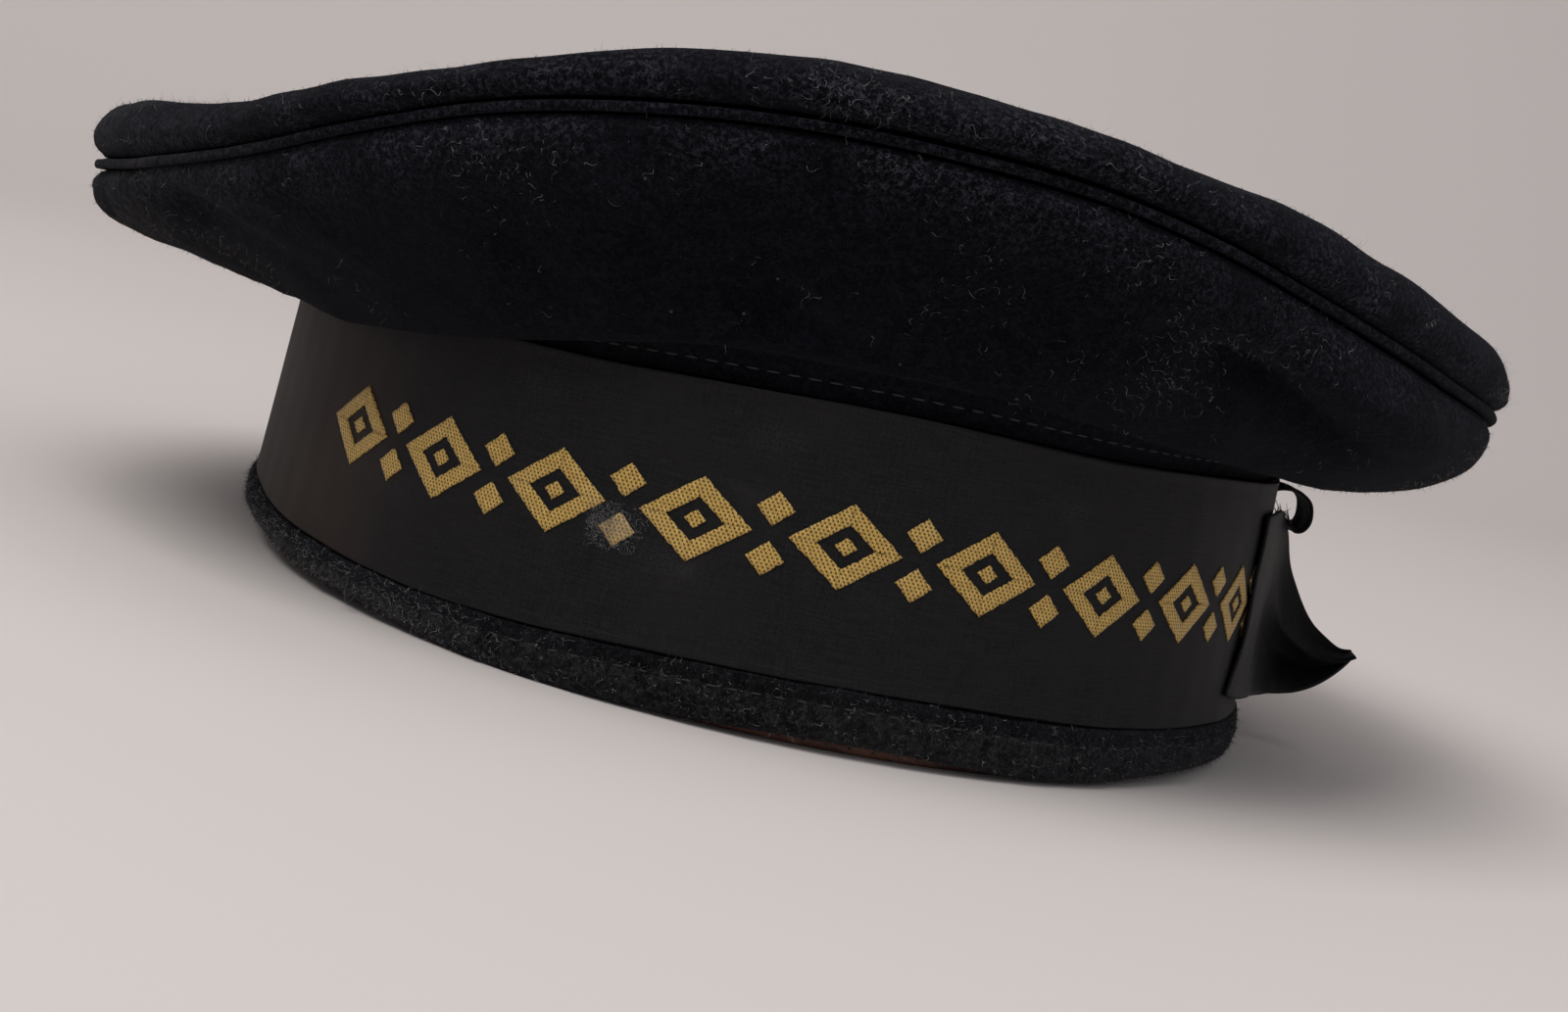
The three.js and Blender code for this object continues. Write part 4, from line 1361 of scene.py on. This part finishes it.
def woven_slab(corners, divisions, seed):
    """A thin raised woven patch between four flat corners given as (s, height)."""
    a, b, c, d = (np.array(corner, float) for corner in corners)
    n, m = divisions
    u = np.linspace(0, 1, n + 1)[:, None, None]
    v = np.linspace(0, 1, m + 1)[None, :, None]
    flat = (a * (1 - u) + b * u) * (1 - v) + (d * (1 - u) + c * u) * v
    draw = np.random.default_rng(seed)
    ragged = draw.normal(0, 0.045, flat.shape[:2] + (2,))
    ragged[1:-1, 1:-1] = 0
    flat = flat + ragged
    az, out, z = border_place(flat[..., 0], flat[..., 1])
    grid = on_band(az, out + WEAVE_LIFT, z)
    points, faces, _ = slab_parts(grid, np.full(grid.shape[:2], WEAVE_THICKNESS))
    cloth = np.concatenate([flat.reshape(-1, 2), flat.reshape(-1, 2)])
    return points, faces, cloth[faces]


def lozenge_corners(middle, half_wide, half_tall):
    s, h = middle
    return [(s + half_wide, h), (s, h + half_tall), (s - half_wide, h), (s, h - half_tall)]


def lozenge_ring(middle, half_wide, half_tall, stroke, seed):
    """Four mitred strokes round a lozenge."""
    slope = math.hypot(half_wide, half_tall) / half_tall
    in_wide = half_wide - stroke * slope
    in_tall = half_tall * in_wide / half_wide
    outer = lozenge_corners(middle, half_wide, half_tall)
    inner = lozenge_corners(middle, in_wide, in_tall)
    found = []
    for k in range(4):
        after = (k + 1) % 4
        corners = (outer[k], outer[after], inner[after], inner[k])
        found.append(woven_slab(corners[::-1], (14, 5), seed + k))
    return found


def lozenge(middle, half_wide, half_tall, seed):
    corners = lozenge_corners(middle, half_wide, half_tall)
    return [woven_slab(corners[::-1], (6, 6), seed)]


def gold_border():
    """A plain woven border: open lozenges, each with a small one inside, and pairs between."""
    half = BORDER_HEIGHT / 2
    parts = []
    count = int((BORDER_REACH[-1] - BORDER_MARGIN) // LOZENGE_PERIOD) + 1
    for k in range(count):
        s = FIRST_LOZENGE + k * LOZENGE_PERIOD
        seed = 100 + 10 * k
        parts += lozenge_ring((s, half), LOZENGE_HALF_WIDTH, half, LOZENGE_STROKE, seed)
        parts += lozenge((s, half), *INNER_LOZENGE, seed + 5)
        if s + LOZENGE_PERIOD < BORDER_REACH[-1]:
            between = s + LOZENGE_PERIOD / 2
            parts += lozenge((between, half + PAIR_OFFSET), *PAIR_LOZENGE, seed + 6)
            parts += lozenge((between, half - PAIR_OFFSET), *PAIR_LOZENGE, seed + 7)
    points, faces, uv, start = [], [], [], 0
    for part_points, part_faces, part_uv in parts:
        points.append(part_points)
        faces.append(part_faces + start)
        uv.append(part_uv)
        start += len(part_points)
    points = np.concatenate(points)
    across = (azimuth_of(points) + 107.5) / 2.2
    worn = np.exp(-(across**2) - ((points[:, 2] - 24) / 3.2) ** 2)
    marks = {"faded": np.clip(worn * 0.6, 0, 1)}
    faces = np.concatenate(faces).tolist()
    return new_piece("gold_border", points, faces, GOLD, np.concatenate(uv), marks)


def bow_grid(rows, steps, heights, placed):
    """A fine grid from a short table's rows and a list of shares across."""
    fine = soft_curve(np.array(rows, float), steps)
    return np.stack([placed(fine, share) for share in heights], axis=1)


def silk_marks(grid):
    count = 2 * grid.shape[0] * grid.shape[1]
    return {"stain": np.zeros(count), "rubbed_and_lit": np.zeros(count)}


def bow_loop(name, side):
    shares = np.linspace(-1, 1, 29)

    def placed(fine, share):
        turn, out, half = fine.T
        gathered = smoothstep(9 - turn, 0, 5) * 0.5 * math.cos(share * 3.5 * math.pi)
        return on_band(BOW_AZIMUTH + side * turn, out + gathered * 0.8, BOW_Z + share * half)

    grid = bow_grid(LOOP_PATH, 64, shares if side > 0 else -shares, placed)
    grid = grid + grid_normals(grid) * (0.12 * lumps(grid, 6.0, 61))[..., None]
    return slab_piece(name, grid, RIBBON_SILK, SILK_BLACK, silk_marks(grid))


def bow_knot():
    rows = soft_curve(np.array(KNOT_ROWS, float), 36)
    turn = np.linspace(-1, 1, 41)
    z, half, out = (column[:, None] for column in rows.T)
    bend = np.sqrt(np.maximum(1 - 0.9 * turn**4, 0.02))
    pleats = 0.22 * np.cos(turn * 4.5 * math.pi) * (1 - 0.5 * np.abs(turn))
    stand = KNOT_BASE + (out - KNOT_BASE) * (0.45 + 0.55 * bend) + pleats
    az = BOW_AZIMUTH + turn * np.degrees(half / band_radius(BOW_AZIMUTH))
    front = on_band(az, stand, z)
    base = on_band(az[:, ::-1], KNOT_BASE + 0 * stand, z)
    loops = np.concatenate([front, base], axis=1)
    count, around = loops.shape[:2]
    points = loops.reshape(-1, 3)
    faces = closed_tube_faces(count, around)
    uv = [((k % around) * KNOT_THREAD_GAP, points[k, 2]) for face in faces for k in face]
    piece = new_piece("bow_knot_silk", points, faces, SILK_BLACK, uv)
    # The knot's pleats are pressed flat, so its faces stay flat.
    piece.data.polygons.foreach_set("use_smooth", np.zeros(len(faces), dtype=bool))
    return piece


def bow_pointed_end():
    shares = np.linspace(0, 1, 41)

    def placed(fine, share):
        az, out, low, high, swing = fine.T
        turned = swing * (1 - min(share / 0.4, 1)) ** 1.5
        ridge = 2.0 * max(0.0, 1 - abs(share - 0.52) / 0.22) * smoothstep(out, 1.5, 6)
        crease = 2.2 * max(0.0, 1 - abs(share - 0.20) / 0.12) * smoothstep(out, 6, 10)
        inward = 0.7 * max(0.0, share - 0.5) * smoothstep(out, 3, 9)
        return on_band(az - turned - ridge + crease, out - inward, lerp(low, high, share))

    grid = bow_grid(POINTED_END, 90, shares, placed)
    grid = grid + grid_normals(grid) * (0.10 * lumps(grid, 5.0, 62))[..., None]
    marks = silk_marks(grid)
    return slab_piece("bow_pointed_end_silk", grid, RIBBON_SILK, SILK_BLACK, marks)


def bow_curled_end():
    shares = np.linspace(0, 1, 25)

    def placed(fine, share):
        out, z = fine.T
        return on_band(lerp(CURL_AZ[0], CURL_AZ[1], share) + 0 * out, out, z)

    grid = bow_grid(CURLED_END, 44, shares, placed)
    edge = np.linspace(0, 1, grid.shape[0])[:, None]
    uneven = 0.14 * lumps(grid, 2.6, 63) * edge
    grid = grid + grid_normals(grid) * uneven[..., None]
    marks = silk_marks(grid)
    return slab_piece("bow_curled_end_silk", grid, RIBBON_SILK, SILK_BLACK, marks), grid


def frayed_threads(grid):
    """Loose warp threads past the curled end's cut edge."""
    draw = np.random.default_rng(71)
    parts = []
    edge, before = grid[-1], grid[-4]
    for _ in range(90):
        k = draw.integers(0, len(edge))
        start = edge[k] + draw.normal(0, 0.12, 3)
        ahead = edge[k] - before[k]
        ahead = ahead / np.linalg.norm(ahead)
        length = draw.uniform(0.4, 2.4)
        bend = draw.normal(0, 0.6, 3)
        t = np.linspace(0, 1, 7)[:, None]
        path = start + ahead * length * t + bend * length * t**2
        parts.append(tube_parts(path, np.linspace(0.10, 0.03, 7), 4))
    return joined_piece("frayed_threads", parts, SILK_FRAY)


def hem_thread_loop():
    """One small loose loop of thread at the hem, on the front left."""
    t = np.linspace(0, 1, 26)
    az = -133.5 + 2.2 * t
    out = 0.9 + 1.3 * np.sin(math.pi * t)
    z = 4.4 - 2.6 * np.sin(math.pi * t) + 0.8 * np.sin(2 * math.pi * t)
    return joined_piece("hem_thread_loop", [tube_parts(on_band(az, out, z), 0.13, 6)], BLACK_THREAD)


# ---------------------------------------------------------------- camera, light and floor

def camera():
    data = bpy.data.cameras.new("camera")
    data.sensor_width = 36.0
    data.lens = 36.0 * 2813.0 / 1600.0
    data.clip_start = 0.01
    piece = placed_object("camera", data)
    piece.location = (-0.05653, -0.46990, 0.07527)
    piece.rotation_euler = [math.radians(turn) for turn in (83.23530, -13.16060, -6.06654)]
    bpy.context.scene.camera = piece


def area_light(name, place, target, size, power, color):
    data = bpy.data.lights.new(name, "AREA")
    data.size = size
    data.energy = power
    data.color = color
    piece = placed_object(name, data)
    piece.location = place
    aim = Vector(target) - Vector(place)
    piece.rotation_euler = aim.to_track_quat("-Z", "Y").to_euler()


def studio():
    """A pale paper sweep that curves up behind the cap, and soft light from the upper left."""
    half_width, bend_from, bend_radius = 14.0, 0.7, 0.6
    flat = [(-half_width, 0.0), (0.0, 0.0), (bend_from, 0.0)]
    bend = [
        (bend_from + bend_radius * math.sin(t), bend_radius - bend_radius * math.cos(t))
        for t in np.linspace(0.1, math.pi / 2, 14)
    ]
    line = flat + bend + [(bend_from + bend_radius, 3.0)]
    points = [(x, y, z) for y, z in line for x in (-half_width, half_width)]
    faces = [(2 * k, 2 * k + 1, 2 * k + 3, 2 * k + 2) for k in range(len(line) - 1)]
    mesh = bpy.data.meshes.new("paper_sweep")
    mesh.from_pydata(points, [], faces)
    shade_smooth(mesh)
    mesh.materials.append(pale_sweep())
    piece = placed_object("paper_sweep", mesh)
    area_light("key", (-0.55, -0.55, 1.35), (0, 0, 0.05), 1.0, 16.0, (1.0, 0.985, 0.96))
    area_light("fill", (0.75, -1.1, 0.65), (0, 0, 0.05), 1.2, 2.6, (0.96, 0.97, 1.0))
    area_light("wall_wash", (0.2, 0.1, 1.6), (0.1, 1.1, 0.35), 1.4, 6.5, (1.0, 0.98, 0.96))
    world = bpy.data.worlds.new("room")
    world.use_nodes = True
    room = world.node_tree
    seen = add(room, "ShaderNodeLightPath").outputs["Is Camera Ray"]
    shade = blend(room, seen, (0.251, 0.254, 0.270, 1.0), (0.52, 0.485, 0.47, 1.0))
    room.links.new(shade, room.nodes["Background"].inputs[0])
    bpy.context.scene.world = world
    bpy.context.scene.view_settings.view_transform = "Standard"


# ---------------------------------------------------------------- putting it together

def nap_weights(points, extra=1.0):
    """More fibres where the cloth curves away at the rim than on its broad faces."""
    return 0.55 + extra * smoothstep(reach_of(points), 92, 116)


def lint_weights(points):
    """Lint gathers in clusters, most of them along the rim."""
    clusters = np.clip(0.35 + 0.8 * lumps(points, 11.0, 81), 0.03, None) ** 2
    return clusters * (0.25 + 1.6 * smoothstep(reach_of(points), 88, 116))


def nap_layers(top_skin, side_skin, hem_skin):
    """The short nap of the crown's two panels, and the hem's longer one."""
    crown = {"length": 0.75, "radius": 0.035, "curl": 0.6, "lean": 1.2}
    top = fibres_on("crown_top_nap", top_skin, nap_weights(top_skin), WOOL_FIBRE,
                    count=9000, seed=3, **crown)
    skin = side_skin[:, 6:]
    side = fibres_on("crown_side_nap", skin, nap_weights(skin, 0.4), WOOL_FIBRE,
                     count=8500, seed=4, **crown)
    skin = hem_skin[:, 2:]
    hem = fibres_on("hem_nap", skin, np.ones(skin.shape[:2]), HEM_FIBRE,
                    count=7500, length=0.9, radius=0.04, curl=0.7, lean=1.1, seed=5)
    return top, side, hem


def lint_layers(top_skin, side_skin, hem_skin):
    """Pale lint caught on the wool, most of the hem's at the left."""
    crown = {"curl": 1.1, "lean": 1.4, "wiggle": 0.16, "segments": 7}
    skin = top_skin[:, 2:]
    top = fibres_on("crown_top_lint", skin, lint_weights(skin), PALE_LINT,
                    count=1900, length=2.1, radius=0.022, seed=6, **crown)
    skin = side_skin[:, 10:]
    side = fibres_on("crown_side_lint", skin, lint_weights(skin) + left_dust(skin), PALE_LINT,
                     count=1700, length=1.8, radius=0.021, seed=7, **crown)
    skin = hem_skin[:, 4:]
    leftward = smoothstep(-azimuth_of(skin), 108, 122)
    fluff = 0.5 + 1.6 * leftward * (1 + 0.6 * lumps(skin, 6.0, 82))
    hem = fibres_on("hem_lint", skin, np.clip(fluff, 0.05, None), PALE_LINT,
                    count=2300, length=1.4, radius=0.026, curl=1.0, lean=1.2, seed=8,
                    wiggle=0.14, segments=6)
    return top, side, hem


def gold_fluff():
    """A tuft of pale fluff caught on one figure of the border."""
    az, up = np.meshgrid(
        np.linspace(-110.2, -105.2, 12), np.linspace(-3.2, 3.4, 12), indexing="ij"
    )
    patch = on_band(az, 0.25 + 0 * az, 23.8 + up)
    thickness = np.exp(-(((az + 108.4) / 1.5) ** 2) - (up / 2.0) ** 2) + 0.05
    return fibres_on("gold_fluff", patch, thickness, PALE_LINT,
                     count=700, length=1.1, radius=0.02, curl=0.8, lean=1.4, seed=12,
                     wiggle=0.15, segments=5, closed=False)


def stitch_rows():
    """The stitches above the ribbon, in the hem's groove, and along the leather's lower edge."""
    az = steps_round(ROUND_STITCHES)
    seam = side_lines(az, SIDE_STEPS)[:, SIDE_STITCH_STEP]
    top = stitches_along("top_stitches", polar(az, seam[:, 0] + 0.05, seam[:, 1]), BLACK_THREAD,
                         pitch=2.9, length=1.9, radius=0.16, slant=0.0, unevenness=0.08, seed=9)
    groove = hem_lines(az, HEM_STEPS)[:, HEM_STITCH_STEP]
    hem = stitches_along("hem_stitches", polar(az, groove[:, 0] + 0.02, groove[:, 1]), BLACK_THREAD,
                         pitch=3.3, length=1.7, radius=0.15, slant=0.0, unevenness=0.15, seed=10)
    edge = on_band(az, LEATHER_FACE + 0.62, 0.95 + 0 * az)
    whip = stitches_along("whip_stitches", edge, TAN_THREAD,
                          pitch=3.4, length=1.5, radius=0.22, slant=1.25, unevenness=0.2, seed=11)
    return top, hem, whip


def build():
    camera()
    studio()

    top, top_skin = crown_top()
    side, side_skin = crown_side()
    welt = crown_welt()
    band, hem_skin = headband()
    leather = sweatband()
    silk = ribbon()
    border = gold_border()
    knot = bow_knot()
    loop_front = bow_loop("bow_loop_front_silk", -1)
    loop_back = bow_loop("bow_loop_back_silk", 1)
    pointed = bow_pointed_end()
    curled, curled_grid = bow_curled_end()
    fray = frayed_threads(curled_grid)
    loop_thread = hem_thread_loop()

    top_nap, side_nap, hem_nap = nap_layers(top_skin, side_skin, hem_skin)
    top_lint, side_lint, hem_lint = lint_layers(top_skin, side_skin, hem_skin)
    top_stitches, hem_stitches, whip_stitches = stitch_rows()
    fluff = gold_fluff()

    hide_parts("crown_top")
    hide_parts("crown_side")
    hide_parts("crown_welt")
    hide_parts("headband")
    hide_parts("sweatband")
    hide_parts("ribbon")
    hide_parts("bow_knot")
    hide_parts("bow_loop_front")
    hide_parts("bow_loop_back")
    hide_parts("bow_pointed_end")
    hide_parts("bow_curled_end")

    finishes = {
        "wool": (top, side, welt, top_nap, side_nap, top_lint, side_lint, top_stitches),
        "hem_wool": (band, hem_nap, hem_lint, hem_stitches, loop_thread),
        "silk": (silk, border, fluff, knot, loop_front, loop_back, pointed, curled, fray),
        "leather": (leather, whip_stitches),
    }
    for name, pieces in finishes.items():
        for piece in pieces:
            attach(piece, "root")


build()
